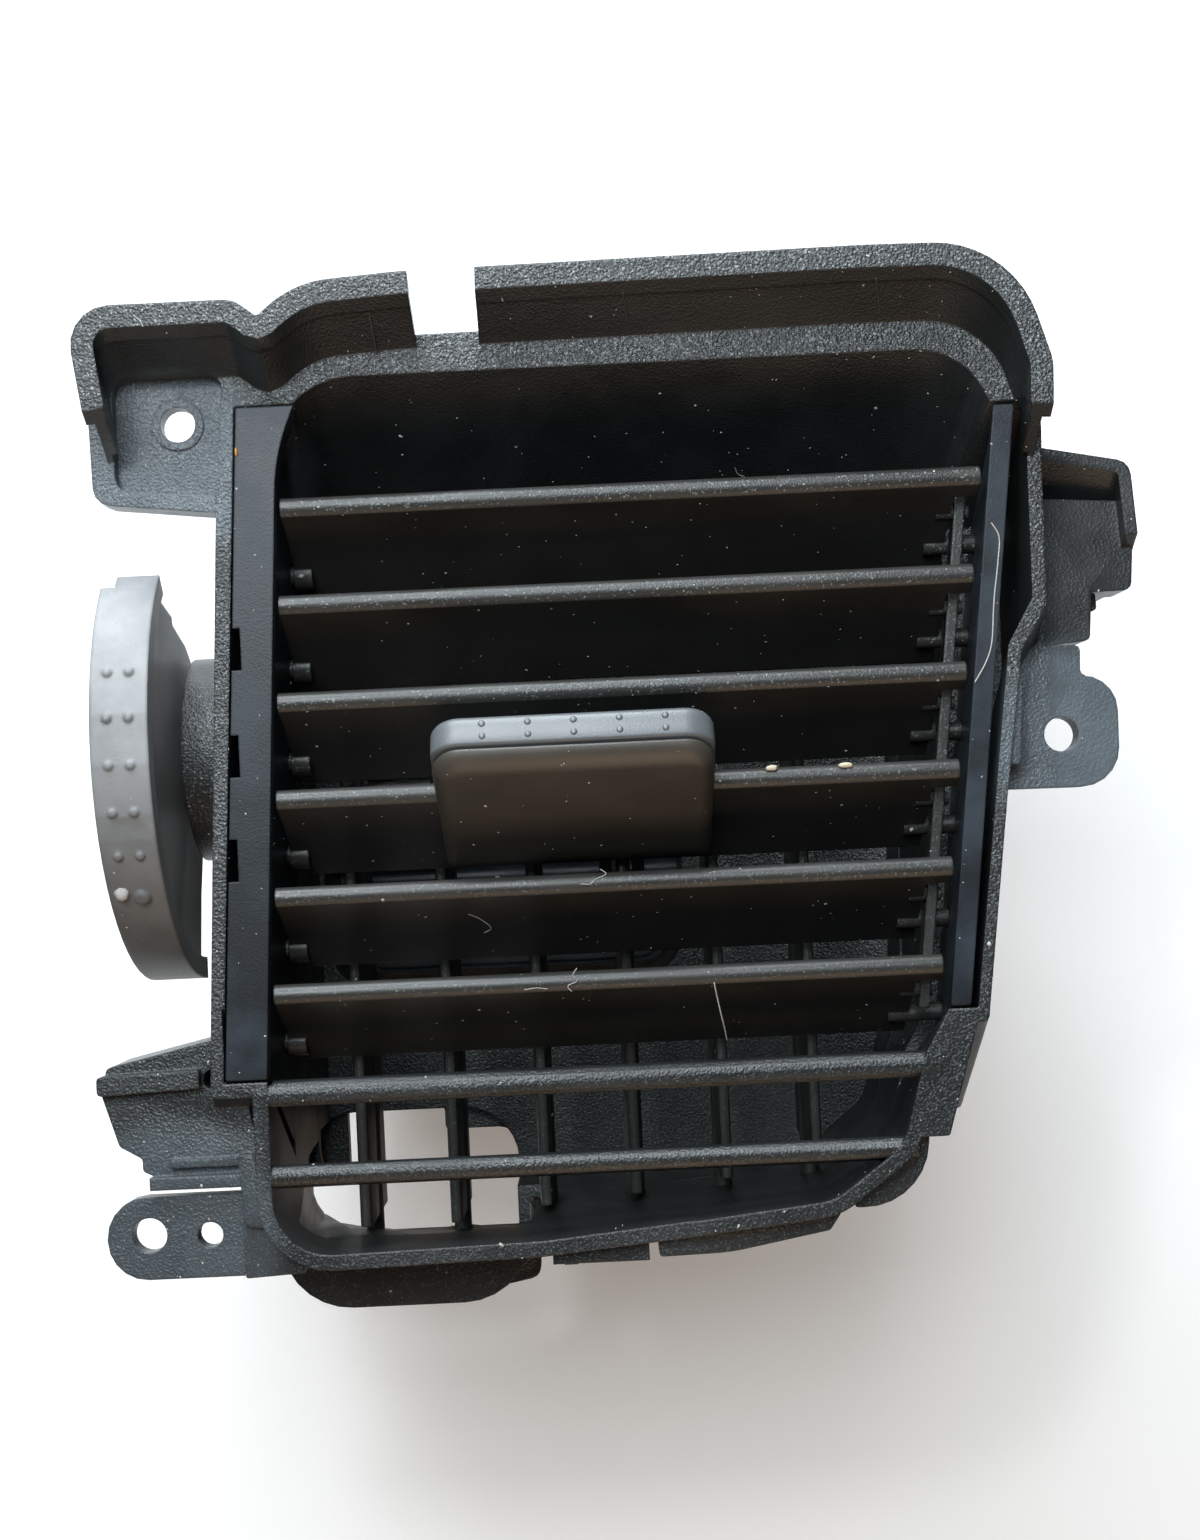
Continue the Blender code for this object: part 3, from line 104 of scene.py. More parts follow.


# Node groups and finishes

# Painted sheen on the three screw tabs: centres, radii in millimetres and weights of its soft balls.
PAINTED_SHEEN_BALLS = (
    ((-58.0, 12.0, 58.0), 15.0, 1.0),
    ((68.0, 8.0, 12.0), 12.0, 0.9),
    ((-64.0, 8.0, -53.0), 15.0, 0.5),
)
BALL_FADE = 5.0


@dataclass
class Wiring:
    """Adds nodes to one tree and joins their sockets."""

    tree: bpy.types.NodeTree

    def add(self, kind: str, **values: object) -> bpy.types.Node:
        """Adds a node and sets its properties and input values.

        Args:
            kind: The node's type, such as ShaderNodeMath.
            values: Properties by name; inputs by their name with in_ before it or by in_ and a number.

        Returns:
            The new node.
        """
        node = self.tree.nodes.new(kind)
        for name, value in values.items():
            if name.startswith("in_"):
                key = name[3:]
                node.inputs[int(key) if key.isdigit() else key.replace("_", " ")].default_value = value
            else:
                setattr(node, name, value)
        return node

    def join(self, source: bpy.types.NodeSocket, target: bpy.types.NodeSocket) -> None:
        """Joins an output to an input."""
        self.tree.links.new(source, target)

    def math(self, operation: str, first: object, second: object = 0.0) -> bpy.types.NodeSocket:
        """Adds a Math node fed by sockets or numbers.

        Args:
            operation: The node's operation.
            first: Socket or number.
            second: Socket or number.

        Returns:
            The node's output.
        """
        node = self.tree.nodes.new("ShaderNodeMath")
        node.operation = operation
        for index, value in enumerate((first, second)):
            if isinstance(value, bpy.types.NodeSocket):
                self.join(value, node.inputs[index])
            else:
                node.inputs[index].default_value = value
        return node.outputs[0]

    def mix(self, share: object, first: object, second: object) -> bpy.types.NodeSocket:
        """Adds a colour mix fed by sockets or colours.

        Args:
            share: Socket or number, 0 for the first colour and 1 for the second.
            first: Socket or colour.
            second: Socket or colour.

        Returns:
            The node's output.
        """
        node = self.tree.nodes.new("ShaderNodeMix")
        node.data_type = "RGBA"
        for index, value in ((0, share), (6, first), (7, second)):
            if isinstance(value, bpy.types.NodeSocket):
                self.join(value, node.inputs[index])
            else:
                node.inputs[index].default_value = value
        return node.outputs[2]

    def ramp(
        self, value: bpy.types.NodeSocket, low: object, high: object, start: object, end: object
    ) -> bpy.types.NodeSocket:
        """Adds a smooth Map Range.

        Args:
            value: Socket that the range reads.
            low: Value that gives the start.
            high: Value that gives the end.
            start: Result at the low value.
            end: Result at the high value.

        Returns:
            The node's output.
        """
        node = self.tree.nodes.new("ShaderNodeMapRange")
        node.interpolation_type = "SMOOTHSTEP"
        self.join(value, node.inputs["Value"])
        for name, limit in (("From Min", low), ("From Max", high), ("To Min", start), ("To Max", end)):
            if isinstance(limit, bpy.types.NodeSocket):
                self.join(limit, node.inputs[name])
            else:
                node.inputs[name].default_value = limit
        return node.outputs["Result"]


def new_group(
    name: str, inputs: dict[str, float], outputs: dict[str, str]
) -> tuple[Wiring, bpy.types.Node, bpy.types.Node]:
    """Starts a shader node group.

    Args:
        name: The group's name.
        inputs: Float inputs with their values.
        outputs: Outputs with their socket types.

    Returns:
        The wiring of the group's tree, its input node and its output node.
    """
    tree = bpy.data.node_groups.new(name, "ShaderNodeTree")
    for title, value in inputs.items():
        socket = tree.interface.new_socket(title, in_out="INPUT", socket_type="NodeSocketFloat")
        socket.default_value = value
    for title, kind in outputs.items():
        tree.interface.new_socket(title, in_out="OUTPUT", socket_type=kind)
    wiring = Wiring(tree)
    return wiring, wiring.add("NodeGroupInput"), wiring.add("NodeGroupOutput")


def grain_group() -> bpy.types.NodeTree:
    """Fine pitted grain of a spark-eroded mould, with a broad unevenness.

    Returns:
        A group with Grains per metre and Patch share, and the outputs Height and Patches.
    """
    wiring, given, made = new_group(
        "moulded_grain",
        {"Grains per metre": 2600.0, "Patch share": 0.35},
        {"Height": "NodeSocketFloat", "Patches": "NodeSocketFloat"},
    )
    place = wiring.add("ShaderNodeTexCoord").outputs["Object"]
    cells = wiring.add("ShaderNodeTexVoronoi", feature="SMOOTH_F1", in_Smoothness=0.6, in_Randomness=1.0)
    wiring.join(place, cells.inputs["Vector"])
    wiring.join(given.outputs[0], cells.inputs["Scale"])
    fine = wiring.add("ShaderNodeTexNoise", in_Detail=3.0, in_Roughness=0.65)
    wiring.join(place, fine.inputs["Vector"])
    wiring.join(given.outputs[0], fine.inputs["Scale"])
    wiring.join(wiring.math("ADD", cells.outputs["Distance"], fine.outputs["Fac"]), made.inputs[0])
    broad = wiring.add("ShaderNodeTexNoise", in_Scale=55.0, in_Detail=4.0, in_Roughness=0.6)
    wiring.join(place, broad.inputs["Vector"])
    patches = wiring.ramp(broad.outputs["Fac"], 0.35, 0.68, 0.0, 1.0)
    wiring.join(wiring.math("MULTIPLY", patches, given.outputs[1]), made.inputs[1])
    return wiring.tree


def speck_group() -> bpy.types.NodeTree:
    """Scattered dust specks: round spots in a share of the cells of a cell pattern.

    Returns:
        A group with Cells per metre, Share and Size, and the output Mask.
    """
    wiring, given, made = new_group(
        "dust_specks",
        {"Cells per metre": 420.0, "Share": 0.12, "Size": 0.16},
        {"Mask": "NodeSocketFloat"},
    )
    place = wiring.add("ShaderNodeTexCoord").outputs["Object"]
    wobble = wiring.add("ShaderNodeTexNoise", in_Scale=2400.0, in_Detail=1.0)
    wiring.join(place, wobble.inputs["Vector"])
    push = wiring.add("ShaderNodeVectorMath", operation="SCALE", in_Scale=0.0005)
    wiring.join(wobble.outputs["Color"], push.inputs[0])
    moved = wiring.add("ShaderNodeVectorMath", operation="ADD")
    wiring.join(place, moved.inputs[0])
    wiring.join(push.outputs[0], moved.inputs[1])
    cells = wiring.add("ShaderNodeTexVoronoi", feature="F1", in_Randomness=1.0)
    wiring.join(moved.outputs[0], cells.inputs["Vector"])
    wiring.join(given.outputs[0], cells.inputs["Scale"])
    split = wiring.add("ShaderNodeSeparateColor")
    wiring.join(cells.outputs["Color"], split.inputs[0])
    chosen = wiring.math("LESS_THAN", split.outputs[0], given.outputs[1])
    size = wiring.math("MULTIPLY", split.outputs[1], given.outputs[2])
    inside = wiring.math("LESS_THAN", cells.outputs["Distance"], size)
    wiring.join(wiring.math("MULTIPLY", chosen, inside), made.inputs[0])
    return wiring.tree


def dust_and_painted_light_group() -> bpy.types.NodeTree:
    """Thin dust film on faces turned to the front or up, and the zone of painted glints on the front.

    The film is partly painted light: it grows with height, a painted light falloff, and on faces turned up it
    is also a painted sheen. The painted glints grow with height too, and stop beside the grille, at the right
    tab.

    Returns:
        A group with Amount and Upper, and the outputs Mask and Painted glint zone.
    """
    wiring, given, made = new_group(
        "dust_and_painted_light",
        {"Amount": 0.2, "Upper": 0.0},
        {"Mask": "NodeSocketFloat", "Painted glint zone": "NodeSocketFloat"},
    )
    facing = wiring.add("ShaderNodeSeparateXYZ")
    wiring.join(wiring.add("ShaderNodeNewGeometry").outputs["Normal"], facing.inputs[0])
    front = wiring.ramp(wiring.math("MULTIPLY", facing.outputs["Y"], -1.0), 0.2, 1.0, 0.0, 1.0)
    cloud = wiring.add("ShaderNodeTexNoise", in_Scale=120.0, in_Detail=5.0, in_Roughness=0.7)
    place = wiring.add("ShaderNodeTexCoord").outputs["Object"]
    wiring.join(place, cloud.inputs["Vector"])
    height = wiring.add("ShaderNodeSeparateXYZ")
    wiring.join(place, height.inputs[0])
    # Painted light falloff: the film and the painted glints are lighter toward the top.
    higher = wiring.ramp(height.outputs["Z"], -0.13, 0.01, 0.25, 1.0)
    uneven = wiring.ramp(cloud.outputs["Fac"], 0.3, 0.75, 0.25, 1.0)
    # Faces turned up: dust, and painted sheen where the light falls from above.
    upper = wiring.ramp(facing.outputs["Z"], 0.45, 0.85, 0.0, 1.0)
    lying = wiring.math("MULTIPLY", upper, given.outputs[1])
    standing = wiring.math("MULTIPLY", front, given.outputs[0])
    spread = wiring.math("MULTIPLY", uneven, higher)
    wiring.join(wiring.math("MULTIPLY", spread, wiring.math("MAXIMUM", lying, standing)), made.inputs[0])
    # Zone of the painted glints: high front faces, short of the right tab.
    facing_front = wiring.ramp(wiring.math("MULTIPLY", facing.outputs["Y"], -1.0), 0.6, 0.92, 0.0, 1.0)
    beside = wiring.ramp(height.outputs["X"], 0.0655, 0.067, 1.0, 0.0)
    painted_glint_zone = wiring.math("MULTIPLY", facing_front, wiring.math("MULTIPLY", higher, beside))
    wiring.join(painted_glint_zone, made.inputs[1])
    return wiring.tree


def painted_sheen_group() -> bpy.types.NodeTree:
    """Painted sheen on the three screw tabs: lighter skin in soft balls around their centres, the strongest
    counting.

    Returns:
        A group with Strength, and the output Mask.
    """
    wiring, given, made = new_group("tab_painted_sheen", {"Strength": 1.0}, {"Mask": "NodeSocketFloat"})
    place = wiring.add("ShaderNodeTexCoord").outputs["Object"]
    total: object = 0.0
    for centre, radius, weight in PAINTED_SHEEN_BALLS:
        away = wiring.add("ShaderNodeVectorMath", operation="DISTANCE")
        wiring.join(place, away.inputs[0])
        away.inputs[1].default_value = tuple(frame_point(*centre))
        near = wiring.ramp(away.outputs["Value"], radius * MM, (radius + BALL_FADE) * MM, weight, 0.0)
        total = wiring.math("MAXIMUM", near, total)
    cloud = wiring.add("ShaderNodeTexNoise", in_Scale=160.0, in_Detail=4.0, in_Roughness=0.65)
    wiring.join(place, cloud.inputs["Vector"])
    uneven = wiring.ramp(cloud.outputs["Fac"], 0.3, 0.7, 0.7, 1.0)
    painted_sheen_mask = wiring.math("MULTIPLY", wiring.math("MULTIPLY", total, uneven), given.outputs[0])
    wiring.join(painted_sheen_mask, made.inputs[0])
    return wiring.tree


@dataclass(frozen=True)
class Finish:
    """One moulded or sprung finish: colours, gloss, grain and dust, with painted light: glints, a sheen on
    tabs and upturned faces, a film lighter toward the top and shade toward the bottom.
    """

    title: str
    colour: tuple[float, float, float]
    patch: tuple[float, float, float]
    roughness: float
    patch_roughness: float
    grain: float
    grain_height: float
    # Film on faces turned to the front: dust, growing toward the top as a painted light falloff.
    haze: float = 0.1
    speck_share: float = 0.05
    speck_size: float = 0.13
    metallic: float = 0.0
    specular: float = 0.5
    dust: tuple[float, float, float] = (0.42, 0.43, 0.44)
    edge: float = 0.35
    # Film on faces turned up: dust, and painted sheen where the light falls from above.
    upper: float = 0.0
    # Share of cells lightened as painted glints on the high front faces.
    glint: float = 0.0
    # Painted sheen on the three screw tabs.
    painted_sheen: bool = False
    # Colour toward the bottom: painted shade.
    painted_shade_low: tuple[float, float, float] | None = None

    def material(self) -> bpy.types.Material:
        """Builds the finish as a node material.

        Returns:
            The material, or the one already made under this title.
        """
        made = bpy.data.materials.get("finish_" + self.title)
        if made is not None:
            return made
        made = bpy.data.materials.new("finish_" + self.title)
        made.use_nodes = True
        wiring = Wiring(made.node_tree)
        shader = made.node_tree.nodes["Principled BSDF"]
        grain = self._group(wiring, "moulded_grain", (self.grain, 1.0))
        specks = self._group(wiring, "dust_specks", (DUST_CELLS, self.speck_share, self.speck_size))
        haze = self._group(wiring, "dust_and_painted_light", (self.haze, self.upper))
        base = wiring.mix(grain.outputs["Patches"], (*self.colour, 1.0), (*self.patch, 1.0))
        # Painted shade: darker and browner toward the bottom.
        if self.painted_shade_low is not None:
            height = wiring.add("ShaderNodeSeparateXYZ")
            wiring.join(wiring.add("ShaderNodeTexCoord").outputs["Object"], height.inputs[0])
            shaded_low = wiring.ramp(height.outputs["Z"], *PAINTED_SHADE_HEIGHTS, 0.0, 1.0)
            base = wiring.mix(shaded_low, (*self.painted_shade_low, 1.0), base)
        # Painted sheen: the screw tabs lighter.
        if self.painted_sheen:
            tabs = self._group(wiring, "tab_painted_sheen", (1.0,))
            base = wiring.mix(tabs.outputs[0], base, (*PAINTED_SHEEN_COLOUR, 1.0))
        # Painted glints: lighter cells on the high front faces stand in for highlights.
        if self.glint > 0.0:
            painted_glint_cells = self._group(wiring, "dust_specks", (PAINTED_GLINT_CELLS, self.glint, PAINTED_GLINT_SIZE))
            painted_glint_mask = wiring.math("MULTIPLY", painted_glint_cells.outputs[0], haze.outputs["Painted glint zone"])
            base = wiring.mix(painted_glint_mask, base, (*PAINTED_GLINT_COLOUR, 1.0))
        # Dust film, partly painted light: lighter toward the top and on faces turned up.
        dust_and_sheen = wiring.mix(haze.outputs["Mask"], base, (*self.dust, 1.0))
        speckled = wiring.mix(specks.outputs["Mask"], dust_and_sheen, (*DUST_COLOUR, 1.0))
        wiring.join(speckled, shader.inputs["Base Color"])
        gloss = wiring.ramp(grain.outputs["Patches"], 0.0, 1.0, self.roughness, self.patch_roughness)
        wiring.join(wiring.math("MAXIMUM", gloss, specks.outputs["Mask"]), shader.inputs["Roughness"])
        bump = wiring.add("ShaderNodeBump", in_Strength=1.0, in_Distance=self.grain_height * MM)
        least, more = GLINT_DEPTH
        depth = wiring.math("ADD", wiring.math("MULTIPLY", haze.outputs["Painted glint zone"], more), least)
        wiring.join(wiring.math("MULTIPLY", grain.outputs["Height"], depth), bump.inputs["Height"])
        soft_edge = wiring.add("ShaderNodeBevel", samples=4, in_Radius=self.edge * MM)
        wiring.join(soft_edge.outputs["Normal"], bump.inputs["Normal"])
        wiring.join(bump.outputs["Normal"], shader.inputs["Normal"])
        shader.inputs["Metallic"].default_value = self.metallic
        shader.inputs["Specular IOR Level"].default_value = self.specular
        made.diffuse_color = (*self.colour, 1.0)
        return made

    @staticmethod
    def _group(wiring: Wiring, name: str, values: tuple[float, ...]) -> bpy.types.Node:
        """Places a node group with its own values.

        Args:
            wiring: The material's wiring.
            name: The group's name.
            values: Values of its inputs, in order.

        Returns:
            The group's node.
        """
        node = wiring.add("ShaderNodeGroup", node_tree=bpy.data.node_groups[name])
        for index, value in enumerate(values):
            node.inputs[index].default_value = value
        return node


FINISHES: dict[Slot, Finish] = {
    # The housing: painted glints on its high front faces and a painted sheen on its screw tabs.
    Slot.HOUSING: Finish(
        "housing", (0.012, 0.0135, 0.014), (0.016, 0.018, 0.0185), 0.32, 0.42, 2600.0, 0.15, 0.06,
        specular=0.6, edge=0.45, upper=0.03, glint=0.42, painted_sheen=True,
    ),
    Slot.CARRIER: Finish(
        "carrier", (0.008, 0.010, 0.013), (0.026, 0.035, 0.047), 0.36, 0.46, 3000.0, 0.016, 0.02,
        specular=0.35,
    ),
    # The vanes: a slight brown tint that is a painted warm reflection, and painted glints on their front
    # faces.
    Slot.VANE: Finish(
        "vane", (0.029, 0.0285, 0.0260), (0.037, 0.0360, 0.0330), 0.34, 0.42, 3000.0, 0.030, 0.02,
        speck_share=0.04, speck_size=0.12, edge=0.40, upper=0.02, glint=0.26,
    ),
    # The knob's lower shell: its brown tint is a painted warm reflection, the shaded copy of the knob's
    # finish.
    Slot.KNOB: Finish(
        "knob", (0.052, 0.044, 0.035), (0.060, 0.051, 0.040), 0.42, 0.48, 3600.0, 0.014, 0.03,
        speck_share=0.03, speck_size=0.12, specular=0.8, edge=0.30, upper=0.10,
    ),
    # The wheel: painted shade darkens and browns it toward the bottom.
    Slot.WHEEL: Finish(
        "wheel", (0.22, 0.225, 0.23), (0.38, 0.385, 0.39), 0.42, 0.52, 2400.0, 0.020, 0.08,
        speck_share=0.04, speck_size=0.12, edge=0.80, painted_shade_low=(0.024, 0.021, 0.017),
    ),
    Slot.NATURAL: Finish(
        "natural", (0.55, 0.53, 0.48), (0.62, 0.60, 0.55), 0.40, 0.50, 1500.0, 0.010, 0.0,
    ),
    Slot.CLIP: Finish(
        "clip", (0.55, 0.56, 0.58), (0.45, 0.46, 0.48), 0.28, 0.42, 5000.0, 0.004, 0.0,
        speck_share=0.0, speck_size=0.1, metallic=1.0,
    ),
    Slot.FOAM: Finish(
        "foam", (0.025, 0.025, 0.027), (0.04, 0.04, 0.042), 0.95, 1.0, 900.0, 0.35, 0.08,
    ),
    Slot.PAD: Finish(
        "pad", (0.02, 0.02, 0.02), (0.03, 0.03, 0.03), 0.85, 0.95, 2500.0, 0.05, 0.0,
    ),
}

# The knob's upper shell and bumps: a lighter, bluish copy of the knob's finish, a painted highlight where the
# band faces the lights.
KNOB_PAINTED_LIT = Finish(
    "knob_upper", (0.100, 0.110, 0.118), (0.115, 0.125, 0.133), 0.38, 0.44, 3600.0, 0.014, 0.03,
    speck_share=0.03, speck_size=0.12, specular=0.9, edge=0.30,
)


# Rounded copies of the moulded pieces


@dataclass
class MouldedPieces:
    """Copies of the solids with the small radii that a mould leaves on every edge."""

    radius: dict[Slot, float] = field(default_factory=lambda: {
        Slot.HOUSING: 0.34, Slot.CARRIER: 0.25, Slot.VANE: 0.22, Slot.WHEEL: 0.6,
        Slot.NATURAL: 0.2, Slot.CLIP: 0.12, Slot.FOAM: 0.5, Slot.PAD: 0.15,
    })
    own_form: tuple[str, ...] = ("knob_upper_shell", "knob_lower_shell")
    edge_angle: float = 30.0
    flat_angle: float = 0.6
    merge_metres: float = 1e-6
    segments: int = 2

    def build(self) -> list[bpy.types.Object]:
        """Dresses each node, but those with their own form, with a rounded copy of itself in its slot's
        finish.

        Returns:
            The copies.
        """
        slots = {entry["node"]: Slot(entry["material_slot"]) for entry in frame["record"]["subparts"]}
        made = []
        for name, node in sorted(frame["nodes"].items()):
            if name in self.own_form:
                continue
            made.append(self.rounded(name, node, slots[name]))
        return made

    def rounded(self, name: str, node: bpy.types.Object, slot: Slot) -> bpy.types.Object:
        """Merges a node's loose triangles, flattens its faces and rounds its edges.

        Args:
            name: The node's name.
            node: The node's object.
            slot: Its material slot.

        Returns:
            The rounded piece, riding on the node's body in its place.
        """
        shape = bmesh.new()
        shape.from_mesh(node.data)
        bmesh.ops.remove_doubles(shape, verts=shape.verts, dist=self.merge_metres)
        bmesh.ops.dissolve_limit(
            shape, angle_limit=radians(self.flat_angle), verts=shape.verts, edges=shape.edges
        )
        mesh = bpy.data.meshes.new(name + "_moulded")
        shape.to_mesh(mesh)
        shape.free()
        piece = bpy.data.objects.new(name + "_moulded", mesh)
        bpy.context.scene.collection.objects.link(piece)
        mesh.materials.clear()
        mesh.materials.append(FINISHES[slot].material())
        mesh.shade_smooth()
        mesh.set_sharp_from_angle(angle=radians(self.edge_angle))
        bevel = piece.modifiers.new("mould_radius", "BEVEL")
        bevel.width = self.radius[slot] * MM
        bevel.segments = self.segments
        bevel.limit_method = "ANGLE"
        bevel.angle_limit = radians(self.edge_angle)
        bevel.use_clamp_overlap = True
        bevel.miter_outer = "MITER_ARC"
        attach(piece, node["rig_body"])
        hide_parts(name)
        return piece


# Closed skins


def skin_faces(rings: int, sectors: int) -> np.ndarray:
    """Triangles of a closed skin made of a first pole, rings of points and a last pole.

    Args:
        rings: Number of rings.
        sectors: Points in a ring.

    Returns:
        Point numbers, three to a row.
    """
    here = np.arange(sectors)
    after = (here + 1) % sectors
    start = 1 + sectors * np.arange(rings - 1)[:, None]
    a, b = (start + here).ravel(), (start + after).ravel()
    c, d = a + sectors, b + sectors
    first = np.stack([np.zeros(sectors, int), 1 + after, 1 + here], axis=1)
    low = 1 + sectors * (rings - 1)
    last = np.stack([np.full(sectors, 1 + sectors * rings), low + here, low + after], axis=1)
    return np.concatenate([first, np.stack([a, b, d], axis=1), np.stack([a, d, c], axis=1), last])


def skin_piece(
    name: str, points: np.ndarray, faces: np.ndarray, material: bpy.types.Material
) -> bpy.types.Object:
    """Puts a closed skin into a mesh, turned outwards, as an object at the origin.

    Args:
        name: The piece's name.
        points: Grille-frame points in millimetres.
        faces: Point numbers, three to a row.
        material: Its finish.

    Returns:
        The piece.
    """
    placed = (points - (0.0, 0.0, LEDGE_Z)) * MM
    corners = placed[faces] - placed.mean(axis=0)
    volume = np.einsum("ij,ij->i", corners[:, 0], np.cross(corners[:, 1], corners[:, 2])).sum()
    mesh = bpy.data.meshes.new(name)
    mesh.from_pydata(placed.tolist(), [], (faces if volume > 0 else faces[:, ::-1]).tolist())
    mesh.materials.append(material)
    mesh.shade_smooth()
    piece = bpy.data.objects.new(name, mesh)
    bpy.context.scene.collection.objects.link(piece)
    return piece


# Slide knob


@dataclass(frozen=True)
class ShellLevel:
    """One level of a knob shell: its height on the normal, its front edge on the chord, its sides' inset."""

    normal: float
    front: float
    inset: float


@dataclass
class SlideKnob:
    """The slide knob's two shells with the generous radii of a finger piece."""

    sides: tuple[float, float] = (-22.8, 16.6)
    rear: float = 12.0
    tail: float = 17.5
    corner: float = 4.2
    heel: float = 1.0
    rake: float = atan(0.642)
    nose_z: float = 9.95
    overrun: float = 3.0
    channel: tuple[float, float] = (-0.6, 16.0)
    channel_half: float = 1.95
    tail_clearance: float = 1.5
    fork_x: float = 3.25
    fork: tuple[float, float] = (1.5, 3.5)
    arm_chord: tuple[float, float] = (9.0, 30.0)
    arm_normal: tuple[float, float] = (1.98, 3.16)
    tie_overlap: float = 0.5
    tie_chord: tuple[float, float] = (10.5, 15.0)
    tie_normal: tuple[float, float] = (1.98, 3.15)
    pad_seat: tuple[tuple[float, float], ...] = ((-9.3, 3.3), (5.1, 10.3), (-2.3, 0.0))
    upper_centre: float = -9.0
    lower_centre: float = -6.4
    pole_chord: float = 2.0
    sharp_angle: float = 38.0
    bump_radius: float = 0.5
    bump_height: float = 0.2
    bump_pitch: float = 6.3
    bump_start: float = -15.4
    bump_rows: tuple[tuple[float, float], ...] = ((-12.58, 1.55), (-12.02, -0.1))
    bump_count: int = 5
    bump_rings: int = 7
    bump_sectors: int = 14
    bump_turn: float = 1.2
    band: tuple[tuple[float, float], tuple[float, float]] = ((-0.95, -0.31), (-0.31, 0.95))
    corner_points: int = 9
    upper: tuple[ShellLevel, ...] = (
        ShellLevel(-1.2, -11.2, 0.45), ShellLevel(-1.12, -11.55, 0.12), ShellLevel(-0.9, -11.75, 0.0),
        ShellLevel(0.3, -12.2, 0.0), ShellLevel(1.2, -12.5, 0.0), ShellLevel(1.9, -12.66, 0.04),
        ShellLevel(2.35, -12.62, 0.2), ShellLevel(2.72, -12.42, 0.45), ShellLevel(3.0, -12.1, 0.8),
        ShellLevel(3.15, -11.7, 1.2), ShellLevel(3.2, -11.2, 1.7),
    )
    lower: tuple[ShellLevel, ...] = (
        ShellLevel(-1.5, -10.8, 0.45), ShellLevel(-1.58, -11.15, 0.12), ShellLevel(-1.8, -11.2, 0.0),
        ShellLevel(-2.3, -10.9, 0.12), ShellLevel(-2.8, -10.3, 0.4), ShellLevel(-3.2, -9.6, 0.8),
        ShellLevel(-3.5, -8.8, 1.3), ShellLevel(-3.65, -8.1, 1.8), ShellLevel(-3.7, -7.4, 2.3),
    )

    def build(self) -> list[bpy.types.Object]:
        """Builds both shells in the places of the solids, and the grip bumps.

        Returns:
            The upper shell, the lower shell and the bumps.
        """
        width = (self.sides[0] - self.overrun, self.sides[1] + self.overrun)
        height = (-self.channel_half, self.channel_half)
        channel = self.slab(width, self.channel, height)
        near, far = self.fork
        arms = [
            self.slab((self.fork_x + a, self.fork_x + b), self.arm_chord, self.arm_normal)
            for a, b in ((near, far), (-far, -near))
        ]
        half_tie = near + self.tie_overlap
        tie = self.slab((self.fork_x - half_tie, self.fork_x + half_tie), self.tie_chord, self.tie_normal)
        # The upper shell takes the painted lit copy of the knob's finish, the lower shell the painted shaded
        # one.
        upper = self.shell("knob_upper_form", self.upper, self.upper_centre, KNOB_PAINTED_LIT)
        self.combine(upper, (("DIFFERENCE", channel), ("UNION", arms[0]), ("UNION", arms[1]), ("UNION", tie)))
        lower = self.shell("knob_lower_form", self.lower, self.lower_centre, FINISHES[Slot.KNOB], self.tail)
        seat = self.slab(*self.pad_seat)
        longer = self.slab(width, (self.channel[0], self.tail + self.tail_clearance), height)
        self.combine(lower, (("DIFFERENCE", longer), ("DIFFERENCE", seat)))
        for piece, node in ((upper, "knob_upper_shell"), (lower, "knob_lower_shell")):
            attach(piece, frame["nodes"][node]["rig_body"])
            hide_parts(node)
        bumps = self.bumps()
        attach(bumps, upper["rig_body"])
        return [upper, lower, bumps]

    def place(self, x: np.ndarray, chord: np.ndarray, normal: np.ndarray) -> np.ndarray:
        """Knob coordinates turned by the rake: the chord runs rearwards and down from the nose.

        Args:
            x: Places across.
            chord: Places along the chord.
            normal: Heights on the normal.

        Returns:
            Grille-frame points in millimetres, one per row.
        """
        depth = chord * cos(self.rake) + normal * sin(self.rake)
        height = self.nose_z - chord * sin(self.rake) + normal * cos(self.rake)
        return np.stack([x, depth, height], axis=-1)

    def shell(
        self, name: str, levels: tuple[ShellLevel, ...], centre: float, finish: Finish, tail: float = 0.0
    ) -> bpy.types.Object:
        """Closed shell: one rounded rectangle per level, with flat ends.

        A front corner is a quarter ellipse about (side, centre): its half axis across is the corner
        radius less the inset, along the chord it reaches from the centre to the level's front. The
        rear corners are quarter circles of the heel radius; a tail draws the rear edge out, most at
        the levels that step in least.

        Args:
            name: The piece's name.
            levels: The levels, from one end of the shell to the other.
            centre: Chord of the front corners' centres.
            finish: The shell's finish.
            tail: Rear edge where the sides don't step in, or 0 for the plain rear.

        Returns:
            The piece.
        """
        turn = np.linspace(0.0, np.pi / 2, self.corner_points)
        rings = []
        for level in levels:
            left, right = self.sides[0] + level.inset, self.sides[1] - level.inset
            across, ahead = self.corner - level.inset, centre - level.front
            rear = self.rear if tail == 0.0 else tail - (tail - self.rear) * level.inset / levels[-1].inset
            x = np.concatenate([
                right - across + across * np.sin(turn), right - self.heel + self.heel * np.cos(turn),
                left + self.heel - self.heel * np.sin(turn), left + across - across * np.cos(turn),
            ])
            chord = np.concatenate([
                centre - ahead * np.cos(turn), rear - self.heel + self.heel * np.sin(turn),
                rear - self.heel + self.heel * np.cos(turn), centre - ahead * np.sin(turn),
            ])
            rings.append(self.place(x, chord, np.full_like(x, level.normal)))
        middle = np.array([0.5 * sum(self.sides)]), np.array([self.pole_chord])
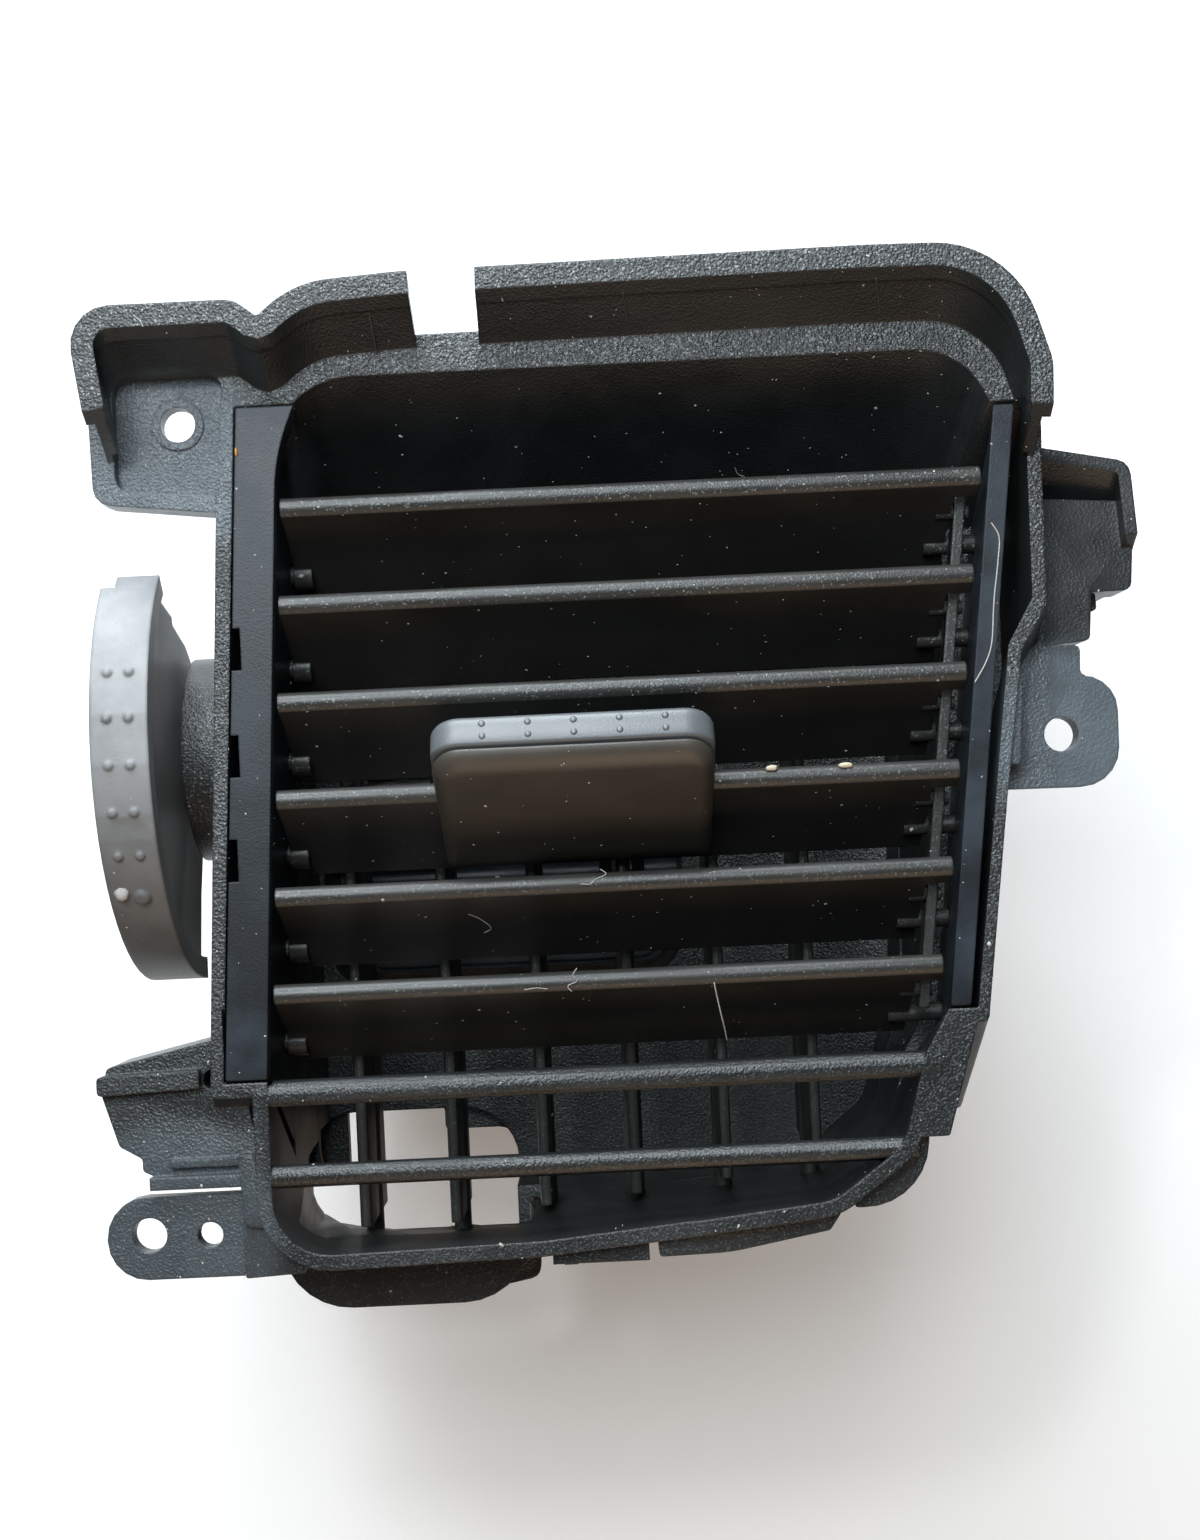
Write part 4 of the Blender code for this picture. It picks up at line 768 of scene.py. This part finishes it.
        ends = [self.place(*middle, np.array([levels[end].normal])) for end in (0, -1)]
        points = np.concatenate([ends[0], *rings, ends[1]])
        return skin_piece(name, points, skin_faces(len(levels), 4 * self.corner_points), finish.material())

    def slab(
        self, x: tuple[float, float], chord: tuple[float, float], normal: tuple[float, float]
    ) -> bpy.types.Object:
        """Straight-sided tool: a ring of four corners at each of the two normals, with flat ends.

        Args:
            x: Its ends across.
            chord: Its ends on the chord.
            normal: Its ends on the normal.

        Returns:
            The tool.
        """
        ring_x = np.array([x[0], x[1], x[1], x[0]])
        ring_u = np.array([chord[0], chord[0], chord[1], chord[1]])
        middle = np.array([0.5 * sum(x)]), np.array([0.5 * sum(chord)])
        rings = [self.place(ring_x, ring_u, np.full(4, level)) for level in normal]
        ends = [self.place(*middle, np.array([level])) for level in normal]
        points = np.concatenate([ends[0], *rings, ends[1]])
        return skin_piece("tool", points, skin_faces(2, 4), FINISHES[Slot.KNOB].material())

    def bumps(self) -> bpy.types.Object:
        """Two rows of five grip bumps: spheres flattened along the band's normal, half sunk in the band.

        Returns:
            The piece.
        """
        turn = np.linspace(0.0, 2 * np.pi, self.bump_sectors, endpoint=False)
        rise = np.sin(np.linspace(-self.bump_turn, self.bump_turn, self.bump_rings))
        ring = []
        for r in rise:
            wide = (1 - r * r) ** 0.5
            level = np.full(self.bump_sectors, r)
            ring.append(np.stack([np.cos(turn) * wide, level, np.sin(turn) * wide], axis=1))
        ball = np.concatenate([[[0.0, -1.0, 0.0]], *ring, [[0.0, 1.0, 0.0]]])
        ball = ball * (self.bump_radius, self.bump_height, self.bump_radius)
        out, up = self.band
        lumps = []
        for chord, normal in self.bump_rows:
            for number in range(self.bump_count):
                x = self.bump_start + self.bump_pitch * number + ball[:, 0]
                along = chord + ball[:, 1] * out[0] + ball[:, 2] * up[0]
                lumps.append(self.place(x, along, normal + ball[:, 1] * out[1] + ball[:, 2] * up[1]))
        shift = len(ball) * np.arange(len(lumps))[:, None, None]
        faces = (skin_faces(self.bump_rings, self.bump_sectors) + shift).reshape(-1, 3)
        # The bumps take the painted lit copy of the knob's finish.
        return skin_piece("knob_grip_bumps", np.concatenate(lumps), faces, KNOB_PAINTED_LIT.material())

    def combine(self, piece: bpy.types.Object, steps: tuple[tuple[str, bpy.types.Object], ...]) -> None:
        """Joins and cuts a piece with tools in turn and removes the tools.

        Args:
            piece: The piece that changes.
            steps: Operations with their tools.
        """
        for operation, tool in steps:
            step = piece.modifiers.new("combine", "BOOLEAN")
            step.operation = operation
            step.solver = "EXACT"
            step.object = tool
            graph = bpy.context.evaluated_depsgraph_get()
            mesh = bpy.data.meshes.new_from_object(piece.evaluated_get(graph))
            piece.modifiers.clear()
            piece.data = mesh
            bpy.data.objects.remove(tool, do_unlink=True)
        piece.data.shade_smooth()
        piece.data.set_sharp_from_angle(angle=radians(self.sharp_angle))


# Dust, lint and small marks


def to_frame(u: np.ndarray, v: np.ndarray, y: np.ndarray) -> np.ndarray:
    """Grille-frame points, in millimetres, seen at photograph pixels.

    A pixel's offset from the axis pixel, turned back by the roll and divided by the focal length,
    gives the slope of its sight line; the line starts CAMERA_BACK in front of the grille.

    Args:
        u: Pixel columns.
        v: Pixel rows.
        y: Depths behind the grille's plane.

    Returns:
        One point per row.
    """
    across = (u - AXIS_PIXEL[0]) / FOCAL_PIXELS * (CAMERA_BACK + y)
    above = (AXIS_PIXEL[1] - v) / FOCAL_PIXELS * (CAMERA_BACK + y)
    x = across * cos(ROLL) + above * sin(ROLL)
    z = above * cos(ROLL) - across * sin(ROLL)
    return np.stack([x, y, z], axis=-1)


def plain_finish(title: str, colour: tuple[float, float, float], roughness: float) -> bpy.types.Material:
    """Finish of a small mark: its colour made uneven by fine noise.

    Args:
        title: The finish's name.
        colour: Its colour.
        roughness: Its roughness.

    Returns:
        The material.
    """
    material = bpy.data.materials.new("finish_" + title)
    material.use_nodes = True
    wiring = Wiring(material.node_tree)
    shader = material.node_tree.nodes["Principled BSDF"]
    noise = wiring.add("ShaderNodeTexNoise", in_Scale=3000.0, in_Detail=2.0)
    wiring.join(wiring.add("ShaderNodeTexCoord").outputs["Object"], noise.inputs["Vector"])
    deep = tuple(0.55 * part for part in colour)
    wiring.join(wiring.mix(noise.outputs["Fac"], (*deep, 1.0), (*colour, 1.0)), shader.inputs["Base Color"])
    shader.inputs["Roughness"].default_value = roughness
    material.diffuse_color = (*colour, 1.0)
    return material


LITTER_FINISHES = (
    ("dust", DUST_COLOUR, 0.9),
    ("lint", (0.60, 0.58, 0.54), 0.6),
    ("seam", (0.085, 0.088, 0.080), 0.45),
    ("cream", (0.72, 0.64, 0.46), 0.6),
    ("orange", (0.75, 0.36, 0.08), 0.6),
)


@dataclass
class Sight:
    """Finds the piece that shows at a pixel of the photograph, at rest."""

    def look(self, u: float, v: float) -> tuple[np.ndarray, np.ndarray, str] | None:
        """Casts a ray from the camera's place.

        Args:
            u: Pixel column.
            v: Pixel row.

        Returns:
            The point in the grille frame, the face's normal and the body, or None beside the vent.
        """
        eye, far = to_frame(np.array([u, u]), np.array([v, v]), np.array([-CAMERA_BACK + 1.0, 100.0]))
        ray = Vector(far - eye).normalized()
        graph = bpy.context.evaluated_depsgraph_get()
        found, place, normal, _, piece, _ = bpy.context.scene.ray_cast(graph, frame_point(*eye), ray)
        if not found or "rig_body" not in piece:
            return None
        return np.array(place) / MM + (0.0, 0.0, LEDGE_Z), np.array(normal), piece["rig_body"]


@dataclass(frozen=True)
class Hair:
    """One hair or lint thread, by the pixels that it runs through."""

    name: str
    pixels: tuple[tuple[float, float], ...]
    radius: float = 0.085
    lift: float = 0.12
    finish: str = "lint"
    ends: tuple[float, float] | None = None


HAIRS = (
    Hair(
        "hair_right_strip",
        ((991, 522), (999, 537), (998, 561), (994, 601), (992, 641), (986, 662), (974, 684)),
        0.10,
    ),
    Hair(
        "hair_lower_vane",
        ((714, 982), (718, 1001), (722, 1018), (725, 1030), (727, 1041)),
        0.10,
        ends=(-0.3, 5.0),
    ),
    Hair("lint_vane_five", ((600, 869), (606, 874), (596, 879), (590, 884), (581, 884)), 0.07),
    Hair("lint_vane_five_low", ((468, 914), (480, 919), (491, 928), (484, 933)), 0.07),
    Hair("lint_vane_six", ((577, 968), (573, 975), (577, 981), (568, 986), (572, 992)), 0.07),
    Hair("lint_vane_six_left", ((524, 990), (536, 988), (548, 989)), 0.06),
    Hair("lint_vane_one", ((735, 468), (738, 474), (745, 477)), 0.06),
    Hair("mould_line_left", ((369, 312), (373, 334), (377, 354)), 0.14, 0.03, "seam"),
    Hair("mould_line_middle", ((623, 292), (625, 306), (627, 320)), 0.14, 0.03, "seam"),
    Hair("mould_line_right", ((876, 278), (878, 296), (880, 314)), 0.14, 0.03, "seam"),
    Hair("lint_ear_wall", ((134, 316), (140, 321), (143, 327)), 0.06),
)


@dataclass(frozen=True)
class Chip:
    """A small lump of another colour stuck to the vent, by its pixel and its half sizes in millimetres."""

    name: str
    pixel: tuple[float, float]
    half: tuple[float, float]
    finish: str
    higher: float = 0.0


CHIPS = (
    Chip("cream_chip_left", (772, 773), (0.9, 0.42), "cream", 0.72),
    Chip("cream_chip_right", (846, 770), (1.2, 0.40), "cream", 0.7),
    Chip("orange_speck", (236, 452), (0.25, 0.7), "orange"),
    Chip("yellow_speck", (497, 877), (0.5, 0.25), "cream"),
    # A pale lump at the first vane's left pivot: a painted highlight.
    Chip("pale_speck_left", (301, 576), (0.5, 0.3), "dust"),
    Chip("wheel_pale_dot", (122, 893), (1.15, 1.15), "dust"),
    Chip("pale_speck_right", (989, 944), (0.35, 0.35), "dust"),
)


@dataclass
class Litter:
    """Hairs, lint threads and dust flecks lying on the vent."""

    sight: Sight = field(default_factory=Sight)
    seed: int = 4217
    tries: int = 1500
    keep: int = 620
    reach: float = 9.0
    sectors: int = 7
    rises: tuple[float, ...] = (0.7, 0.0, -0.7)
    steps: int = 48
    thread_sides: int = 6
    deepest: float = 60.0
    window: tuple[tuple[float, float], tuple[float, float]] = ((70.0, 245.0), (1135.0, 1290.0))
    least_size: float = 0.05
    size_spread: tuple[float, float] = (0.045, 0.55)
    flatness: float = 0.45

    def build(self) -> list[bpy.types.Object]:
        """Makes the hairs, the flecks and the marks.

        Returns:
            The pieces.
        """
        made = [*self.flecks(), *map(self.hair, HAIRS), *map(self.chip, CHIPS)]
        return [piece for piece in made if piece is not None]

    def ball(self) -> np.ndarray:
        """Points of a unit sphere: a pole, three rings and a pole."""
        angle = np.linspace(0.0, 2 * np.pi, self.sectors, endpoint=False)
        ring = np.stack([np.cos(angle), np.sin(angle)], axis=1)
        rings = [np.c_[ring * (1 - rise * rise) ** 0.5, np.full(self.sectors, rise)] for rise in self.rises]
        return np.concatenate([[[0.0, 0.0, 1.0]], *rings, [[0.0, 0.0, -1.0]]])

    def chip(self, chip: Chip) -> bpy.types.Object | None:
        """Lump stuck on the face under its pixel: a sphere stretched to its half sizes, its points uneven.

        Args:
            chip: The lump.

        Returns:
            The piece, or None where nothing lies under it.
        """
        hit = self.sight.look(*chip.pixel)
        if hit is None:
            return None
        count = 2 + len(self.rises) * self.sectors
        wobble = np.random.default_rng(len(chip.name)).uniform(0.8, 1.2, (count, 1))
        place = hit[0] + (0.0, 0.0, chip.higher)
        points = place + self.ball() * wobble * (chip.half[0], chip.half[1] * 0.6, chip.half[1])
        material = bpy.data.materials["finish_" + chip.finish]
        piece = skin_piece(chip.name, points, skin_faces(len(self.rises), self.sectors), material)
        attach(piece, hit[2])
        return piece

    def hair(self, hair: Hair) -> bpy.types.Object | None:
        """Round thread along a smooth path through its pixels.

        Depth is a straight fit of the depths found under the pixels, leaving out those far behind
        the nearest, moved in front of them all, or runs evenly between the hair's own end depths.
        Between the pixels the path is a Catmull-Rom curve; the section is a circle of constant
        radius, square to the path, that closes to a point at each end.

        Args:
            hair: The thread.

        Returns:
            The piece, or None where nothing lies under it.
        """
        marks = np.array(hair.pixels, float)
        found = [self.sight.look(u, v) for u, v in marks]
        seen = [(number, hit) for number, hit in enumerate(found) if hit is not None]
        if len(seen) < 2:
            return None
        at = np.array([number for number, _ in seen], float)
        depth = np.array([hit[0][1] for _, hit in seen])
        near = depth < depth.min() + self.reach
        slope, start = np.polyfit(at[near], depth[near], 1) if near.sum() > 1 else (0.0, depth.min())
        start += min(0.0, float((depth - (slope * at + start)).min())) - hair.lift
        depths = slope * np.arange(len(marks)) + start
        if hair.ends is not None:
            depths = np.linspace(*hair.ends, len(marks))
        knots = to_frame(marks[:, 0], marks[:, 1], depths)
        path = self.curve(knots)
        along = np.gradient(path, axis=0)
        along /= np.linalg.norm(along, axis=1, keepdims=True)
        side = np.cross(along, (0.0, 1.0, 0.0))
        side /= np.linalg.norm(side, axis=1, keepdims=True)
        top = np.cross(side, along)
        turn = np.linspace(0.0, 2 * np.pi, self.thread_sides, endpoint=False)
        ring = np.cos(turn)[None, :, None] * side[:, None] + np.sin(turn)[None, :, None] * top[:, None]
        skin = path[1:-1, None] + hair.radius * ring[1:-1]
        points = np.concatenate([path[:1], skin.reshape(-1, 3), path[-1:]])
        material = bpy.data.materials["finish_" + hair.finish]
        piece = skin_piece(hair.name, points, skin_faces(len(path) - 2, self.thread_sides), material)
        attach(piece, seen[len(seen) // 2][1][2])
        return piece

    def curve(self, knots: np.ndarray) -> np.ndarray:
        """Catmull-Rom curve: a cubic between two knots that leaves along their neighbours' chord.

        Args:
            knots: Points that the curve runs through.

        Returns:
            Points on the curve, evenly spread over its spans.
        """
        ends = np.concatenate([[2 * knots[0] - knots[1]], knots, [2 * knots[-1] - knots[-2]]])
        spans = np.linspace(0.0, len(knots) - 1 - 1e-6, self.steps)
        part = spans.astype(int)
        t = (spans - part)[:, None]
        a, b, c, d = (ends[part + step] for step in range(4))
        square, cube = 2 * a - 5 * b + 4 * c - d, 3 * b - a - 3 * c + d
        return 0.5 * (2 * b + (c - a) * t + square * t**2 + cube * t**3)

    def flecks(self) -> list[bpy.types.Object]:
        """Dust flecks: flat uneven lumps on the faces that the camera sees, gathered by body.

        A lump is a sphere of three rings whose points are pushed in or out at random, flattened
        along the face's normal and sunk by half.

        Returns:
            One piece per body.
        """
        draw = np.random.default_rng(self.seed)
        pixels = draw.uniform(*self.window, (self.tries, 2))
        scale, sigma = self.size_spread
        sizes = self.least_size + scale * draw.lognormal(0.0, sigma, self.tries)
        ball = self.ball()
        faces = skin_faces(len(self.rises), self.sectors)
        by_body: dict[str, list[np.ndarray]] = {}
        kept = 0
        for (u, v), size in zip(pixels, sizes):
            wobble = draw.uniform(0.7, 1.3, (len(ball), 1))
            stretch = draw.uniform(0.6, 1.6, 2)
            hit = self.sight.look(u, v)
            if hit is None or kept >= self.keep or hit[0][1] > self.deepest:
                continue
            place, normal, body = hit
            side = np.cross(normal, (0.31, 0.77, 0.55))
            side /= np.linalg.norm(side)
            axes = np.stack([side * stretch[0], np.cross(normal, side) * stretch[1], normal * self.flatness])
            by_body.setdefault(body, []).append(place + size * (ball * wobble) @ axes)
            kept += 1
        made = []
        for body, lumps in sorted(by_body.items()):
            points = np.concatenate(lumps)
            shift = len(ball) * np.arange(len(lumps))[:, None, None]
            numbers = (faces + shift).reshape(-1, 3)
            piece = skin_piece("dust_flecks_" + body, points, numbers, bpy.data.materials["finish_dust"])
            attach(piece, body)
            made.append(piece)
        return made


# Camera, light and ground


@dataclass(frozen=True)
class Lamp:
    """One square soft light: its centre and side in millimetres, its power in watts and its colour."""

    name: str
    place: tuple[float, float, float]
    size: float
    strength: float
    colour: tuple[float, float, float]


LAMPS = (
    Lamp("key_light", (-110.0, -620.0, 290.0), 400.0, 4.3, (0.86, 0.95, 1.0)),
    Lamp("top_light", (-80.0, -150.0, 480.0), 360.0, 4.2, (0.88, 0.95, 1.0)),
    Lamp("glint_light", (-190.0, -560.0, 330.0), 70.0, 0.9, (0.95, 0.98, 1.0)),
    Lamp("low_light", (30.0, -220.0, -490.0), 400.0, 0.8, (1.0, 0.70, 0.46)),
)


@dataclass
class Studio:
    """Camera at the photograph's place, soft lights and the white ground behind the vent."""

    ground_y: float = 103.5
    ground_half: float = 2.0
    ground_glow: float = 0.15
    room_strength: float = 0.07
    aim_y: float = 40.0

    def build(self) -> None:
        """Sets up the camera, the lights, the ground and the world."""
        self.camera()
        for lamp in LAMPS:
            self.light(lamp)
        self.ground()
        self.world()
        bpy.context.scene.view_settings.view_transform = "Standard"

    def camera(self) -> None:
        """Places the camera in front of the grille, rolled as in the photograph."""
        data = bpy.data.cameras.new("camera")
        data.sensor_width = SENSOR
        data.lens = FOCAL_PIXELS * SENSOR / PHOTO_HEIGHT
        data.shift_x = (PHOTO_WIDTH / 2 - AXIS_PIXEL[0]) / PHOTO_HEIGHT
        data.shift_y = (AXIS_PIXEL[1] - PHOTO_HEIGHT / 2) / PHOTO_HEIGHT
        data.clip_start = 0.01
        camera = bpy.data.objects.new("camera", data)
        bpy.context.scene.collection.objects.link(camera)
        right = Vector((cos(ROLL), 0.0, -sin(ROLL)))
        up = Vector((sin(ROLL), 0.0, cos(ROLL)))
        back = Vector((0.0, -1.0, 0.0))
        turn = Matrix((right, up, back)).transposed()
        camera.matrix_world = Matrix.Translation(frame_point(0.0, -CAMERA_BACK, 0.0)) @ turn.to_4x4()
        bpy.context.scene.camera = camera

    def light(self, lamp: Lamp) -> None:
        """Adds a square soft light aimed at the grille.

        Args:
            lamp: The light.
        """
        data = bpy.data.lights.new(lamp.name, "AREA")
        data.energy = lamp.strength
        data.size = lamp.size * MM
        data.color = lamp.colour
        light = bpy.data.objects.new(lamp.name, data)
        bpy.context.scene.collection.objects.link(light)
        light.location = frame_point(*lamp.place)
        aim = frame_point(0.0, self.aim_y, 0.0) - light.location
        light.rotation_euler = aim.to_track_quat("-Z", "Y").to_euler()

    def ground(self) -> None:
        """Adds the pale ground that the vent lies on, seen from its front side only."""
        half = self.ground_half
        y = self.ground_y * MM
        corners = [(-half, y, -half), (half, y, -half), (half, y, half), (-half, y, half)]
        mesh = bpy.data.meshes.new("ground")
        mesh.from_pydata(corners, [], [(0, 1, 2, 3)])
        ground = bpy.data.objects.new("ground", mesh)
        bpy.context.scene.collection.objects.link(ground)
        material = bpy.data.materials.new("pale_ground")
        material.use_nodes = True
        wiring = Wiring(material.node_tree)
        shader = material.node_tree.nodes["Principled BSDF"]
        shader.inputs["Base Color"].default_value = (0.90, 0.90, 0.90, 1.0)
        shader.inputs["Roughness"].default_value = 0.9
        shader.inputs["Specular IOR Level"].default_value = 0.0
        shader.inputs["Emission Color"].default_value = (1.0, 1.0, 1.0, 1.0)
        seen = wiring.add("ShaderNodeLightPath").outputs["Is Camera Ray"]
        wiring.join(wiring.math("MULTIPLY", seen, self.ground_glow), shader.inputs["Emission Strength"])
        clear = wiring.add("ShaderNodeBsdfTransparent")
        side = wiring.add("ShaderNodeMixShader")
        wiring.join(wiring.add("ShaderNodeNewGeometry").outputs["Backfacing"], side.inputs[0])
        wiring.join(shader.outputs[0], side.inputs[1])
        wiring.join(clear.outputs[0], side.inputs[2])
        wiring.join(side.outputs[0], material.node_tree.nodes["Material Output"].inputs["Surface"])
        mesh.materials.append(material)

    def world(self) -> None:
        """Even dim light from all round; the camera sees it white."""
        world = bpy.data.worlds.new("room")
        bpy.context.scene.world = world
        world.use_nodes = True
        wiring = Wiring(world.node_tree)
        for node in list(world.node_tree.nodes):
            world.node_tree.nodes.remove(node)
        seen = wiring.add("ShaderNodeLightPath").outputs["Is Camera Ray"]
        plain = wiring.add("ShaderNodeBackground", in_Color=(1.0, 1.0, 1.0, 1.0), in_Strength=1.0)
        room = wiring.add(
            "ShaderNodeBackground", in_Color=(0.80, 0.86, 0.95, 1.0), in_Strength=self.room_strength
        )
        both = wiring.add("ShaderNodeMixShader")
        wiring.join(seen, both.inputs[0])
        wiring.join(room.outputs[0], both.inputs[1])
        wiring.join(plain.outputs[0], both.inputs[2])
        wiring.join(both.outputs[0], wiring.add("ShaderNodeOutputWorld").inputs["Surface"])


def main() -> None:
    """Builds the dressed vent and its studio."""
    logging.basicConfig(level=logging.INFO, format="%(name)s: %(message)s")
    for build_group in (grain_group, speck_group, dust_and_painted_light_group, painted_sheen_group):
        build_group()
    for piece in MouldedPieces().build():
        LOG.info("%s", piece.name)
    for piece in SlideKnob().build():
        LOG.info("%s", piece.name)
    for title, colour, roughness in LITTER_FINISHES:
        plain_finish(title, colour, roughness)
    bpy.context.view_layer.update()
    for piece in Litter().build():
        LOG.info("%s", piece.name)
    Studio().build()


if __name__ == "__main__":
    main()
